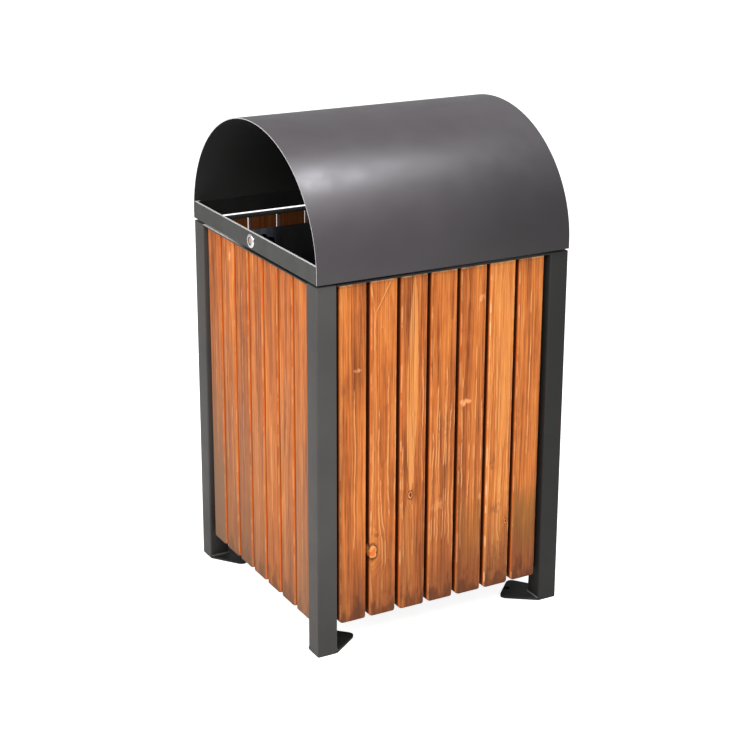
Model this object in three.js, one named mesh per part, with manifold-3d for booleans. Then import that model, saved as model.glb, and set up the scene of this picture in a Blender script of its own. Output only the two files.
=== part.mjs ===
// Square outdoor litter bin: a steel frame of four posts with vertical timber slats, a lift-out liner,
// and a hinged lid made of a flat-bar rim under a barrel-vaulted sheet roof that is open at both ends.
// Millimetres, +Z up. The origin is on the ground at the centre of the square body, the lock faces -Y
// and the lid is hinged along the +Y side.
import * as THREE from "three";
import { mergeVertices } from "three/addons/utils/BufferGeometryUtils.js";
import Module from "manifold-3d";

const wasm = await Module();
wasm.setup();

// Driving dimensions
const BODY = 500; // outer width and depth over the posts
const POST = 38; // square tube
const POST_WALL = 2;
const POST_CORNER = 3; // outer corner radius of the tube
const POST_TOP = 676;
const LID_GAP = 4; // between the post tops and the lid
const RIM_HEIGHT = 32;
const RIM_BAR = 5; // thickness of the lid's flat bar
const RIM_INSET = 1.1; // side bars stand in from the roof, which already leans inwards at their top edge
const ROOF_SHEET = 1.5;
const ROOF_SPRING = 694; // height where the vault starts
const ROOF_TOP = 909;
const SLATS_PER_SIDE = 7;
const SLAT_PITCH = 59.3;
const SLAT_WIDTH = 52;
const SLAT_THICK = 18;
const SLAT_RECESS = 6; // slat face behind the post face
const SLAT_EDGE = 4; // rounding of the slat's front edges
const SLAT_BOTTOM = 51.5;
const TOP_BAR_THICK = 2.5;
const RAIL_THICK = 4;
const RAIL_HEIGHT = 40;
const RAIL_BOTTOM = 590;
const TRAY_SHEET = 2;
const TRAY_BOTTOM = 60;
const TRAY_HEIGHT = 40;
const DRAIN_HOLE = 12;
const FOOT_THICK = 4;
const FOOT_ACROSS = 206; // the foot's two corners are this far from one centre plane
const FOOT_REACH = 152; // and this far from the other
const FOOT_ROUND = 16; // length of straight edge each rounded corner takes up
const ANCHOR_HOLE = 12;
const ANCHOR_OFFSET = 184; // from each centre plane
const LINER_TOP = 657;
const LINER_TOP_WIDTH = 400;
const LINER_FOOT_WIDTH = 372;
const LINER_WALL = 3;
const LINER_CORNER = 40;
const LINER_LIP = 3; // how far the rolled lip stands out
const LINER_LIP_HEIGHT = 7;
const BAIL_WIRE = 6;
const BAIL_REACH = 208; // from the pivot line to the middle of the wire
const BAIL_CORNER = 40;
const PIVOT_HEIGHT = 640; // height of the bail's pivot
const BUFFER_DIAMETER = 14;
const HINGE_SPREAD = 150; // each hinge's distance from the middle
const HINGE_LENGTH = 60;
const HINGE_LEAF = 2;
const KNUCKLE_RADIUS = 4;
const HINGE_PIN_RADIUS = 2;
const LOCK_FLANGE = 26;
const LOCK_BARREL = 19;
const LOCK_PLUG = 12;
const CAM_THICK = 2.5;
const CLEARANCE = 0.3; // between a turned piece and its hole

// Derived dimensions
const HALF = BODY / 2;
const POST_INNER = HALF - POST;
const SLAT_FACE = HALF - SLAT_RECESS;
const SLAT_BACK = SLAT_FACE - SLAT_THICK;
const SLAT_TOP = POST_TOP - TOP_BAR_THICK;
const RIM_BOTTOM = POST_TOP + LID_GAP;
const RIM_TOP = RIM_BOTTOM + RIM_HEIGHT;
const RIM_MIDDLE = RIM_BOTTOM + RIM_HEIGHT / 2;

const paint = { color: 0x4a4b4a, roughness: 0.55, metalness: 0.4 };
const roofPaint = { color: 0x57535a, roughness: 0.45, metalness: 0.5 };
const timber = { color: 0xb4642f, roughness: 0.6, metalness: 0 };
const blackPlastic = { color: 0x1c1d20, roughness: 0.5, metalness: 0 };
const zincSteel = { color: 0x9a9c9e, roughness: 0.35, metalness: 1 };
const bareSteel = { color: 0x77787a, roughness: 0.4, metalness: 1 };
const chrome = { color: 0xd8d9dc, roughness: 0.12, metalness: 1 };
const nickel = { color: 0xb9a59a, roughness: 0.3, metalness: 1 };
const rubber = { color: 0x161616, roughness: 0.9, metalness: 0 };

const bin = new THREE.Group();

function add(name, geometry, finish) {
  const mesh = new THREE.Mesh(geometry, new THREE.MeshStandardMaterial(finish));
  mesh.name = name;
  bin.add(mesh);
}

// A closed geometry as a solid that can be joined and cut.
function solid(geometry) {
  const bare = geometry.clone();
  bare.deleteAttribute("normal");
  bare.deleteAttribute("uv");
  const merged = mergeVertices(bare, 1e-4);
  return new wasm.Manifold(
    new wasm.Mesh({
      numProp: 3,
      vertProperties: merged.attributes.position.array,
      triVerts: new Uint32Array(merged.index.array),
    }),
  );
}

function geometryOf(manifold) {
  const mesh = manifold.getMesh();
  const geometry = new THREE.BufferGeometry();
  geometry.setAttribute("position", new THREE.BufferAttribute(mesh.vertProperties, 3));
  geometry.setIndex(new THREE.BufferAttribute(mesh.triVerts, 1));
  geometry.computeVertexNormals();
  return geometry;
}

// A box from its lowest to its highest corner.
function block([x0, y0, z0], [x1, y1, z1]) {
  const geometry = new THREE.BoxGeometry(x1 - x0, y1 - y0, z1 - z0);
  return geometry.translate((x0 + x1) / 2, (y0 + y1) / 2, (z0 + z1) / 2);
}

// A shape in plan, extruded upwards from z0 to z1.
function upright(shape, z0, z1, curveSegments = 5) {
  const geometry = new THREE.ExtrudeGeometry(shape, { depth: z1 - z0, bevelEnabled: false, curveSegments });
  return geometry.translate(0, 0, z0);
}

// A cylinder along Y, centred on x and z.
function rodY(radius, y0, y1, x, z, sides = 24) {
  const geometry = new THREE.CylinderGeometry(radius, radius, y1 - y0, sides);
  return geometry.translate(x, (y0 + y1) / 2, z);
}

function rodX(radius, x0, x1, y, z, sides = 16) {
  const geometry = new THREE.CylinderGeometry(radius, radius, x1 - x0, sides).rotateZ(Math.PI / 2);
  return geometry.translate((x0 + x1) / 2, y, z);
}

function rodZ(radius, z0, z1, x, y, sides = 20) {
  const geometry = new THREE.CylinderGeometry(radius, radius, z1 - z0, sides).rotateX(Math.PI / 2);
  return geometry.translate(x, y, (z0 + z1) / 2);
}

function roundedRectangle(width, depth, radius, Kind = THREE.Shape) {
  const x = width / 2;
  const y = depth / 2;
  const path = new Kind();
  path.moveTo(x, -y + radius);
  path.lineTo(x, y - radius);
  path.absarc(x - radius, y - radius, radius, 0, Math.PI / 2);
  path.lineTo(-x + radius, y);
  path.absarc(-x + radius, y - radius, radius, Math.PI / 2, Math.PI);
  path.lineTo(-x, -y + radius);
  path.absarc(-x + radius, -y + radius, radius, Math.PI, 1.5 * Math.PI);
  path.lineTo(x - radius, -y);
  path.absarc(x - radius, -y + radius, radius, 1.5 * Math.PI, 2 * Math.PI);
  return path;
}

// The four sides are copies of the front one, turned about the vertical.
const SIDES = [
  ["front", 0],
  ["right", 1],
  ["rear", 2],
  ["left", 3],
];
const CORNERS = [
  ["front_right", 0],
  ["rear_right", 1],
  ["rear_left", 2],
  ["front_left", 3],
];

// Exact quarter turns about Z, so that faces that touch stay in one plane.
function quarterTurn(geometry, turns) {
  const turned = geometry.clone();
  const position = turned.attributes.position;
  for (let i = 0; i < position.count; i += 1) {
    let x = position.getX(i);
    let y = position.getY(i);
    for (let turn = 0; turn < turns; turn += 1) {
      [x, y] = [-y, x];
    }
    position.setXY(i, x, y);
  }
  turned.computeVertexNormals();
  return turned;
}

function addOnSides(prefix, geometry, finish) {
  for (const [side, turns] of SIDES) {
    add(`${prefix}_${side}`, quarterTurn(geometry, turns), finish);
  }
}

function addOnCorners(prefix, geometry, finish) {
  for (const [corner, turns] of CORNERS) {
    add(`${prefix}_${corner}`, quarterTurn(geometry, turns), finish);
  }
}

// Square tube, capped at the top and open at the ground.
function makePosts() {
  const middle = HALF - POST / 2;
  const bore = POST - 2 * POST_WALL;
  const outside = upright(roundedRectangle(POST, POST, POST_CORNER), 0, POST_TOP, 3);
  const inside = upright(roundedRectangle(bore, bore, POST_CORNER - POST_WALL), -1, POST_TOP - POST_WALL, 3);
  const post = geometryOf(solid(outside).subtract(solid(inside)));
  addOnCorners("post", post.translate(middle, -middle, 0), paint);
}

// Flat bars over the slats' top ends, flush with the posts, which they tie together.
// The front one carries the tab that the lock's cam hooks under.
const STRIKE_TAB = { x0: -16, x1: -2, reach: 13 };

function makeTopBars() {
  const bar = block([-POST_INNER, -HALF, SLAT_TOP], [POST_INNER, -SLAT_BACK, POST_TOP]);
  const tabLow = [STRIKE_TAB.x0, -SLAT_BACK - 1, SLAT_TOP];
  const tabHigh = [STRIKE_TAB.x1, -SLAT_BACK + STRIKE_TAB.reach, POST_TOP];
  const tab = block(tabLow, tabHigh);
  for (const [side, turns] of SIDES) {
    const turned = quarterTurn(bar, turns);
    add(`top_bar_${side}`, side === "front" ? geometryOf(solid(bar).add(solid(tab))) : turned, paint);
  }
}

// Flat bars behind the slats, to which the slats' upper ends are screwed.
function makeUpperRails() {
  const low = [-POST_INNER, -SLAT_BACK, RAIL_BOTTOM];
  const high = [POST_INNER, -SLAT_BACK + RAIL_THICK, RAIL_BOTTOM + RAIL_HEIGHT];
  addOnSides("upper_slat_rail", block(low, high), paint);
}

// Folded sheet tray: its floor carries the liner, and the slats' lower ends are screwed to its flanges.
function makeBaseTray() {
  const floorTop = TRAY_BOTTOM + TRAY_SHEET;
  const alongX = block([-SLAT_BACK, -POST_INNER, TRAY_BOTTOM], [SLAT_BACK, POST_INNER, floorTop]);
  const flange = block(
    [-POST_INNER, -SLAT_BACK, TRAY_BOTTOM],
    [POST_INNER, -SLAT_BACK + TRAY_SHEET, TRAY_BOTTOM + TRAY_HEIGHT],
  );
  let tray = solid(alongX).add(solid(quarterTurn(alongX, 1)));
  for (const [, turns] of SIDES) {
    tray = tray.add(solid(quarterTurn(flange, turns)));
  }
  const holeOffset = POST_INNER / 2;
  const holes = [[0, 0]];
  for (const x of [-holeOffset, holeOffset]) {
    for (const y of [-holeOffset, holeOffset]) {
      holes.push([x, y]);
    }
  }
  for (const [x, y] of holes) {
    tray = tray.subtract(solid(rodZ(DRAIN_HOLE / 2, TRAY_BOTTOM - 1, floorTop + 1, x, y)));
  }
  add("base_tray", geometryOf(tray), paint);
}

// The point a given distance from one corner towards another.
function towards([x, y], [toX, toY], distance) {
  const share = distance / Math.hypot(toX - x, toY - y);
  return [x + (toX - x) * share, y + (toY - y) * share];
}

// Anchor plates welded inside the posts at ground level, pointing at the middle of the bin.
function makeFeet() {
  const corners = [
    [HALF, -POST_INNER],
    [FOOT_ACROSS, -FOOT_REACH],
    [FOOT_REACH, -FOOT_ACROSS],
    [POST_INNER, -HALF],
    [POST_INNER, -POST_INNER],
  ];
  const outline = new THREE.Shape();
  outline.moveTo(...corners[0]);
  for (const tip of [1, 2]) {
    outline.lineTo(...towards(corners[tip], corners[tip - 1], FOOT_ROUND));
    outline.quadraticCurveTo(...corners[tip], ...towards(corners[tip], corners[tip + 1], FOOT_ROUND));
  }
  outline.lineTo(...corners[3]);
  outline.lineTo(...corners[4]);
  outline.closePath();
  const plate = upright(outline, 0, FOOT_THICK, 4);
  const hole = rodZ(ANCHOR_HOLE / 2, -1, FOOT_THICK + 1, ANCHOR_OFFSET, -ANCHOR_OFFSET);
  addOnCorners("foot", geometryOf(solid(plate).subtract(solid(hole))), paint);
}

// Upright boards with rounded front edges.
function slatSection() {
  const x = SLAT_WIDTH / 2;
  const section = new THREE.Shape();
  section.moveTo(x, -SLAT_BACK);
  section.lineTo(-x, -SLAT_BACK);
  section.lineTo(-x, -SLAT_FACE + SLAT_EDGE);
  section.absarc(-x + SLAT_EDGE, -SLAT_FACE + SLAT_EDGE, SLAT_EDGE, Math.PI, 1.5 * Math.PI);
  section.lineTo(x - SLAT_EDGE, -SLAT_FACE);
  section.absarc(x - SLAT_EDGE, -SLAT_FACE + SLAT_EDGE, SLAT_EDGE, 1.5 * Math.PI, 2 * Math.PI);
  section.closePath();
  return section;
}

function makeSlats() {
  const slat = upright(slatSection(), SLAT_BOTTOM, SLAT_TOP, 3);
  for (const [side, turns] of SIDES) {
    for (let i = 0; i < SLATS_PER_SIDE; i += 1) {
      const offset = (i - (SLATS_PER_SIDE - 1) / 2) * SLAT_PITCH;
      const placed = slat.clone().translate(offset, 0, 0);
      add(`slat_${side}_${i + 1}`, quarterTurn(placed, turns), timber);
    }
  }
}

// A closed body between two rounded rectangles, the lower one narrower.
function taperedBlock(lowWidth, highWidth, corner, z0, z1) {
  const geometry = upright(roundedRectangle(highWidth, highWidth, corner), z0, z1, 5);
  const position = geometry.attributes.position;
  const scale = lowWidth / highWidth;
  for (let i = 0; i < position.count; i += 1) {
    if (position.getZ(i) < (z0 + z1) / 2) {
      position.setXY(i, position.getX(i) * scale, position.getY(i) * scale);
    }
  }
  return geometry;
}

// Moulded inner bin with a rolled lip and a boss for the bail on its front and rear walls.
const BOSS_RADIUS = 8;
const BOSS_FACE = 203.5;
const PIVOT_RADIUS = 3;
const PIVOT_DEPTH = 4;

function makeLiner() {
  const bottom = TRAY_BOTTOM + TRAY_SHEET;
  const lipWidth = LINER_TOP_WIDTH + 2 * LINER_LIP;
  const lip = roundedRectangle(lipWidth, lipWidth, LINER_CORNER + LINER_LIP);
  const inner = 2 * LINER_WALL;
  const cavityTop = LINER_TOP + 1;
  let liner = solid(taperedBlock(LINER_FOOT_WIDTH, LINER_TOP_WIDTH, LINER_CORNER, bottom, LINER_TOP));
  liner = liner.add(solid(upright(lip, LINER_TOP - LINER_LIP_HEIGHT, LINER_TOP, 5)));
  for (const side of [-1, 1]) {
    const ends = [side * (LINER_TOP_WIDTH / 2 - LINER_WALL), side * BOSS_FACE].sort((a, b) => a - b);
    liner = liner.add(solid(rodY(BOSS_RADIUS, ends[0], ends[1], 0, PIVOT_HEIGHT)));
  }
  const cavity = taperedBlock(
    LINER_FOOT_WIDTH - inner,
    LINER_TOP_WIDTH - inner,
    LINER_CORNER - LINER_WALL,
    bottom + LINER_WALL,
    cavityTop,
  );
  liner = liner.subtract(solid(cavity));
  for (const side of [-1, 1]) {
    const ends = [side * (BOSS_FACE - PIVOT_DEPTH), side * (BOSS_FACE + 1)].sort((a, b) => a - b);
    liner = liner.subtract(solid(rodY(PIVOT_RADIUS + CLEARANCE, ends[0], ends[1], 0, PIVOT_HEIGHT)));
  }
  add("liner", geometryOf(liner), blackPlastic);
}

// Wire handle that lies round the outside of the liner, under its lip, and swings over to the other side.
function makeBail() {
  const reach = BAIL_REACH;
  const bend = BAIL_CORNER;
  const path = new THREE.CurvePath();
  const corner = (x, y, startX, startY, endX, endY) =>
    new THREE.QuadraticBezierCurve3(
      new THREE.Vector3(startX, startY, PIVOT_HEIGHT),
      new THREE.Vector3(x, y, PIVOT_HEIGHT),
      new THREE.Vector3(endX, endY, PIVOT_HEIGHT),
    );
  const line = (x0, y0, x1, y1) =>
    new THREE.LineCurve3(new THREE.Vector3(x0, y0, PIVOT_HEIGHT), new THREE.Vector3(x1, y1, PIVOT_HEIGHT));
  path.add(line(BAIL_WIRE / 2, -reach, -reach + bend, -reach));
  path.add(corner(-reach, -reach, -reach + bend, -reach, -reach, -reach + bend));
  path.add(line(-reach, -reach + bend, -reach, reach - bend));
  path.add(corner(-reach, reach, -reach, reach - bend, -reach + bend, reach));
  path.add(line(-reach + bend, reach, BAIL_WIRE / 2, reach));
  const section = new THREE.Shape();
  section.absarc(0, 0, BAIL_WIRE / 2, 0, 2 * Math.PI);
  const wire = new THREE.ExtrudeGeometry(section, { steps: 56, curveSegments: 5, extrudePath: path });
  let bail = solid(wire);
  for (const side of [-1, 1]) {
    const ends = [side * (BOSS_FACE - PIVOT_DEPTH + CLEARANCE), side * reach].sort((a, b) => a - b);
    bail = bail.add(solid(rodY(PIVOT_RADIUS, ends[0], ends[1], 0, PIVOT_HEIGHT, 16)));
  }
  add("liner_bail", geometryOf(bail), zincSteel);
}

function makeBuffers() {
  const middle = HALF - POST / 2;
  for (const [name, x] of [
    ["buffer_left", -middle],
    ["buffer_right", middle],
  ]) {
    add(name, rodZ(BUFFER_DIAMETER / 2, POST_TOP, RIM_BOTTOM, x, -middle), rubber);
  }
}

// Square hoop of flat bar on edge, with the lock's hole in the front.
function makeLidRim() {
  const side = HALF - RIM_INSET;
  const inside = HALF - RIM_BAR;
  const sideInside = side - RIM_BAR;
  const hoop = solid(block([-side, -HALF, RIM_BOTTOM], [side, HALF, RIM_TOP]))
    .subtract(solid(block([-sideInside, -inside, RIM_BOTTOM - 1], [sideInside, inside, RIM_TOP + 1])))
    .subtract(solid(rodY(LOCK_BARREL / 2 + CLEARANCE, -HALF - 1, -inside + 1, 0, RIM_MIDDLE)));
  add("lid_rim", geometryOf(hoop), paint);
}

// Half-elliptical vault on short upright skirts, wrapped round the outside of the rim.
function makeRoof() {
  const outer = HALF + ROOF_SHEET;
  const rise = ROOF_TOP - ROOF_SPRING;
  const section = new THREE.Shape();
  section.moveTo(outer, RIM_BOTTOM);
  section.lineTo(outer, ROOF_SPRING);
  section.absellipse(0, ROOF_SPRING, outer, rise, 0, Math.PI, false, 0);
  section.lineTo(-outer, RIM_BOTTOM);
  section.lineTo(-HALF, RIM_BOTTOM);
  section.lineTo(-HALF, ROOF_SPRING);
  section.absellipse(0, ROOF_SPRING, HALF, rise - ROOF_SHEET, Math.PI, 0, true, 0);
  section.lineTo(HALF, RIM_BOTTOM);
  section.closePath();
  const vault = new THREE.ExtrudeGeometry(section, { depth: BODY, bevelEnabled: false, curveSegments: 22 });
  add("roof", vault.rotateX(Math.PI / 2).translate(0, HALF, 0), roofPaint);
}

// Butt hinges: one leaf lies on the rear top bar, the other on the back of the rim.
const HINGE_Y = HALF + KNUCKLE_RADIUS + CLEARANCE;
const HINGE_Z = RIM_BOTTOM;
const MIDDLE_KNUCKLE = 22;
const KNUCKLE_GAP = 0.5;
const BODY_LEAF_INSET = 4; // the body leaf stops short of the bar's inner edge
const LID_LEAF_INSET = 6; // the lid leaf stops short of the rim's top
const LEAF_CLEARANCE = 1; // between the lid leaf and the knuckles

function makeHinge(side, x) {
  const half = HINGE_LENGTH / 2;
  const inner = MIDDLE_KNUCKLE / 2;
  const bore = solid(rodX(HINGE_PIN_RADIUS + CLEARANCE, x - half - 1, x + half + 1, HINGE_Y, HINGE_Z));
  const leafEdge = SLAT_BACK + BODY_LEAF_INSET;
  const outerKnuckle = inner + KNUCKLE_GAP;

  let bodyLeaf = solid(block([x - half, leafEdge, POST_TOP], [x + half, HINGE_Y, POST_TOP + HINGE_LEAF]));
  const relief = block(
    [x - outerKnuckle, HALF - 1, POST_TOP - 1],
    [x + outerKnuckle, HINGE_Y + 1, POST_TOP + HINGE_LEAF + 1],
  );
  bodyLeaf = bodyLeaf.subtract(solid(relief));
  bodyLeaf = bodyLeaf.add(solid(rodX(KNUCKLE_RADIUS, x - half, x - outerKnuckle, HINGE_Y, HINGE_Z)));
  bodyLeaf = bodyLeaf.add(solid(rodX(KNUCKLE_RADIUS, x + outerKnuckle, x + half, HINGE_Y, HINGE_Z)));
  add(`hinge_body_leaf_${side}`, geometryOf(bodyLeaf.subtract(bore)), bareSteel);

  const leafTop = RIM_TOP - LID_LEAF_INSET;
  const leafBottom = HINGE_Z + KNUCKLE_RADIUS + LEAF_CLEARANCE;
  let lidLeaf = solid(block([x - half, HALF, leafBottom], [x + half, HALF + HINGE_LEAF, leafTop]));
  lidLeaf = lidLeaf.add(solid(block([x - inner, HALF, HINGE_Z], [x + inner, HALF + HINGE_LEAF, leafTop])));
  lidLeaf = lidLeaf.add(solid(rodX(KNUCKLE_RADIUS, x - inner, x + inner, HINGE_Y, HINGE_Z)));
  add(`hinge_lid_leaf_${side}`, geometryOf(lidLeaf.subtract(bore)), bareSteel);

  const pin = rodX(HINGE_PIN_RADIUS, x - half - 1, x + half + 1, HINGE_Y, HINGE_Z);
  add(`hinge_pin_${side}`, pin, zincSteel);
}

// Cam lock: a flanged barrel through the rim, held by a nut, with a plug that turns the cam.
const LOCK_BACK = -HALF + 25.5;
const FLANGE_FACE = -HALF - 3;
const PLUG_RECESS = 0.8;
const NUT_ACROSS = 27.5; // over the corners
const NUT_THICK = 5;
const KEYWAY_WIDTH = 1.2;
const KEYWAY_HEIGHT = 7;
const KEYWAY_DEPTH = 6;

function makeLockHousing() {
  const housing = solid(rodY(LOCK_FLANGE / 2, FLANGE_FACE, -HALF, 0, RIM_MIDDLE, 32))
    .add(solid(rodY(LOCK_BARREL / 2, -HALF - 1, LOCK_BACK, 0, RIM_MIDDLE)))
    .subtract(solid(rodY(LOCK_PLUG / 2 + CLEARANCE, FLANGE_FACE - 1, LOCK_BACK + 1, 0, RIM_MIDDLE)));
  add("lock_housing", geometryOf(housing), chrome);
}

function makeLockNut() {
  const inside = -HALF + RIM_BAR;
  const nut = solid(rodY(NUT_ACROSS / 2, inside, inside + NUT_THICK, 0, RIM_MIDDLE, 6))
    .subtract(solid(rodY(LOCK_BARREL / 2 + CLEARANCE, inside - 1, inside + NUT_THICK + 1, 0, RIM_MIDDLE)));
  add("lock_nut", geometryOf(nut), bareSteel);
}

// The cam is an arm with a curved hook. Its angles run from straight down towards +X.
const CAM_ARM_ANGLE = 100;
const CAM_HOOK_SPAN = 50;
const HOOK_INNER = 29.5;
const HOOK_OUTER = 35.5;
const CAM_ARM_WIDTH = 10;
const CAM_HUB = 9; // radius

function camDirection(degrees) {
  return (degrees - 90) * (Math.PI / 180);
}

function makeLockCam() {
  const armAngle = camDirection(CAM_ARM_ANGLE);
  const hookEnd = camDirection(CAM_ARM_ANGLE - CAM_HOOK_SPAN);
  const hook = new THREE.Shape();
  hook.absarc(0, 0, HOOK_OUTER, hookEnd, armAngle, false);
  hook.absarc(0, 0, HOOK_INNER, armAngle, hookEnd, true);
  hook.closePath();
  const depth = { depth: CAM_THICK, bevelEnabled: false, curveSegments: 8 };
  const y0 = LOCK_BACK + CLEARANCE;
  const place = (geometry) => geometry.rotateX(Math.PI / 2).translate(0, y0 + CAM_THICK, RIM_MIDDLE);
  const arm = new THREE.BoxGeometry(HOOK_OUTER - 1, CAM_ARM_WIDTH, CAM_THICK)
    .translate((HOOK_OUTER - 1) / 2, 0, CAM_THICK / 2)
    .rotateZ(armAngle);
  const keyway = block(
    [-KEYWAY_WIDTH / 2, FLANGE_FACE, RIM_MIDDLE - KEYWAY_HEIGHT / 2],
    [KEYWAY_WIDTH / 2, FLANGE_FACE + KEYWAY_DEPTH, RIM_MIDDLE + KEYWAY_HEIGHT / 2],
  );
  const cam = solid(place(new THREE.ExtrudeGeometry(hook, depth)))
    .add(solid(place(arm)))
    .add(solid(rodY(CAM_HUB, y0, y0 + CAM_THICK, 0, RIM_MIDDLE)))
    .add(solid(rodY(LOCK_PLUG / 2, FLANGE_FACE + PLUG_RECESS, y0 + CAM_THICK, 0, RIM_MIDDLE)))
    .subtract(solid(keyway));
  add("lock_cam", geometryOf(cam), nickel);
}

makePosts();
makeTopBars();
makeUpperRails();
makeBaseTray();
makeFeet();
makeSlats();
makeLiner();
makeBail();
makeBuffers();
makeLidRim();
makeRoof();
makeHinge("left", -HINGE_SPREAD);
makeHinge("right", HINGE_SPREAD);
makeLockHousing();
makeLockNut();
makeLockCam();

export default bin;
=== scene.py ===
import math
import random

import bmesh
import bpy
from mathutils import Matrix, Quaternion, Vector, noise


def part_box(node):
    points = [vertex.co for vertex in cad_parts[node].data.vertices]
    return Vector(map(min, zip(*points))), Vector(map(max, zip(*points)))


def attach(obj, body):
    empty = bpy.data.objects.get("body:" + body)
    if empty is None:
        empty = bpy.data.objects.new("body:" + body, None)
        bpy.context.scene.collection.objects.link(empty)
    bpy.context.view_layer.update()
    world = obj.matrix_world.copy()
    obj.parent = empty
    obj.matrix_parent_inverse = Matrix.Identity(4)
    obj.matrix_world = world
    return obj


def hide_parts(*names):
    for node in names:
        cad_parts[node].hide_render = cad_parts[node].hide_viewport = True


# Looks of a square litter bin: powder-coated posts, stained softwood slats, a sheet vault on a
# hinged flat-bar rim, and a black moulded liner. The frame gives every place and size, in metres.

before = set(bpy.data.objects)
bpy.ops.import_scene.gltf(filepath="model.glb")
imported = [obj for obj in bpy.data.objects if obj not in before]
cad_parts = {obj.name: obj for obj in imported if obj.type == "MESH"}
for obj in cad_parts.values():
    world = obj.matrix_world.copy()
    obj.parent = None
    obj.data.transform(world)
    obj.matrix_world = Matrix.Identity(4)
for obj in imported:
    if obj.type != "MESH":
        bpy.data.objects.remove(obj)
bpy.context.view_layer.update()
scene = bpy.context.scene

MM = 0.001
SIDES = ("front", "right", "rear", "left")  # each one a quarter turn on from the one before
CORNERS = ("front_right", "rear_right", "rear_left", "front_left")


# ---------------------------------------------------------------- camera, lights and floor

CAMERA_PLACE = (2.7746, -1.5270, 1.5332)
CAMERA_TARGET = (0.0, 0.1261, 0.4844)
CAMERA_ROLL = 0.0155
CAMERA_LENS = 86.56
CAMERA_SHIFT = (-0.0800, -0.0667)

WORLD_LIGHT = 0.50
FLOOR_GLOW = 0.16


def make_camera():
    data = bpy.data.cameras.new("camera")
    data.lens = CAMERA_LENS
    data.shift_x, data.shift_y = CAMERA_SHIFT
    camera = bpy.data.objects.new("camera", data)
    scene.collection.objects.link(camera)
    camera.location = CAMERA_PLACE
    direction = Vector(CAMERA_TARGET) - Vector(CAMERA_PLACE)
    roll = Quaternion((0, 0, 1), CAMERA_ROLL)
    camera.rotation_euler = (direction.to_track_quat("-Z", "Y") @ roll).to_euler()
    scene.camera = camera


def make_area_light(name, place, target, size, power, colour):
    data = bpy.data.lights.new(name, "AREA")
    data.shape = "RECTANGLE"
    data.size, data.size_y = size
    data.energy = power
    data.color = colour
    light = bpy.data.objects.new(name, data)
    scene.collection.objects.link(light)
    light.location = place
    light.rotation_euler = (Vector(target) - Vector(place)).to_track_quat("-Z", "Y").to_euler()


def make_lights():
    """An even pale room, one softbox high on each lit side, and one over the lid's crest."""
    world = bpy.data.worlds.new("studio")
    world.use_nodes = True
    background = world.node_tree.nodes["Background"]
    background.inputs["Color"].default_value = (1.0, 1.0, 1.0, 1.0)
    background.inputs["Strength"].default_value = WORLD_LIGHT
    scene.world = world
    make_area_light("crest_light", (0.50, 0.32, 2.3), (0.0, -0.2, 0.8), (0.6, 0.36), 26, (0.95, 0.96, 1.0))
    make_area_light("side_light", (1.1, 0.10, 1.9), (0.2, -0.2, 0.8), (0.45, 0.35), 3.2, (0.98, 0.96, 1.0))
    make_area_light("right_light", (1.75, -1.25, 2.05), (0.2, 0.0, 0.5), (1.1, 1.1), 28, (1.0, 0.98, 0.95))
    make_area_light("front_light", (-0.2, -3.4, 2.0), (0.0, 0.0, 0.4), (2.0, 2.0), 48, (1.0, 0.97, 0.94))
    scene.view_settings.view_transform = "Standard"


# ---------------------------------------------------------------- shader nodes

def linear(red, green, blue):
    """A colour given in sRGB bytes, as a shader takes it."""

    def channel(value):
        share = value / 255
        return share / 12.92 if share <= 0.04045 else ((share + 0.055) / 1.055) ** 2.4

    return (channel(red), channel(green), channel(blue), 1.0)


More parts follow.
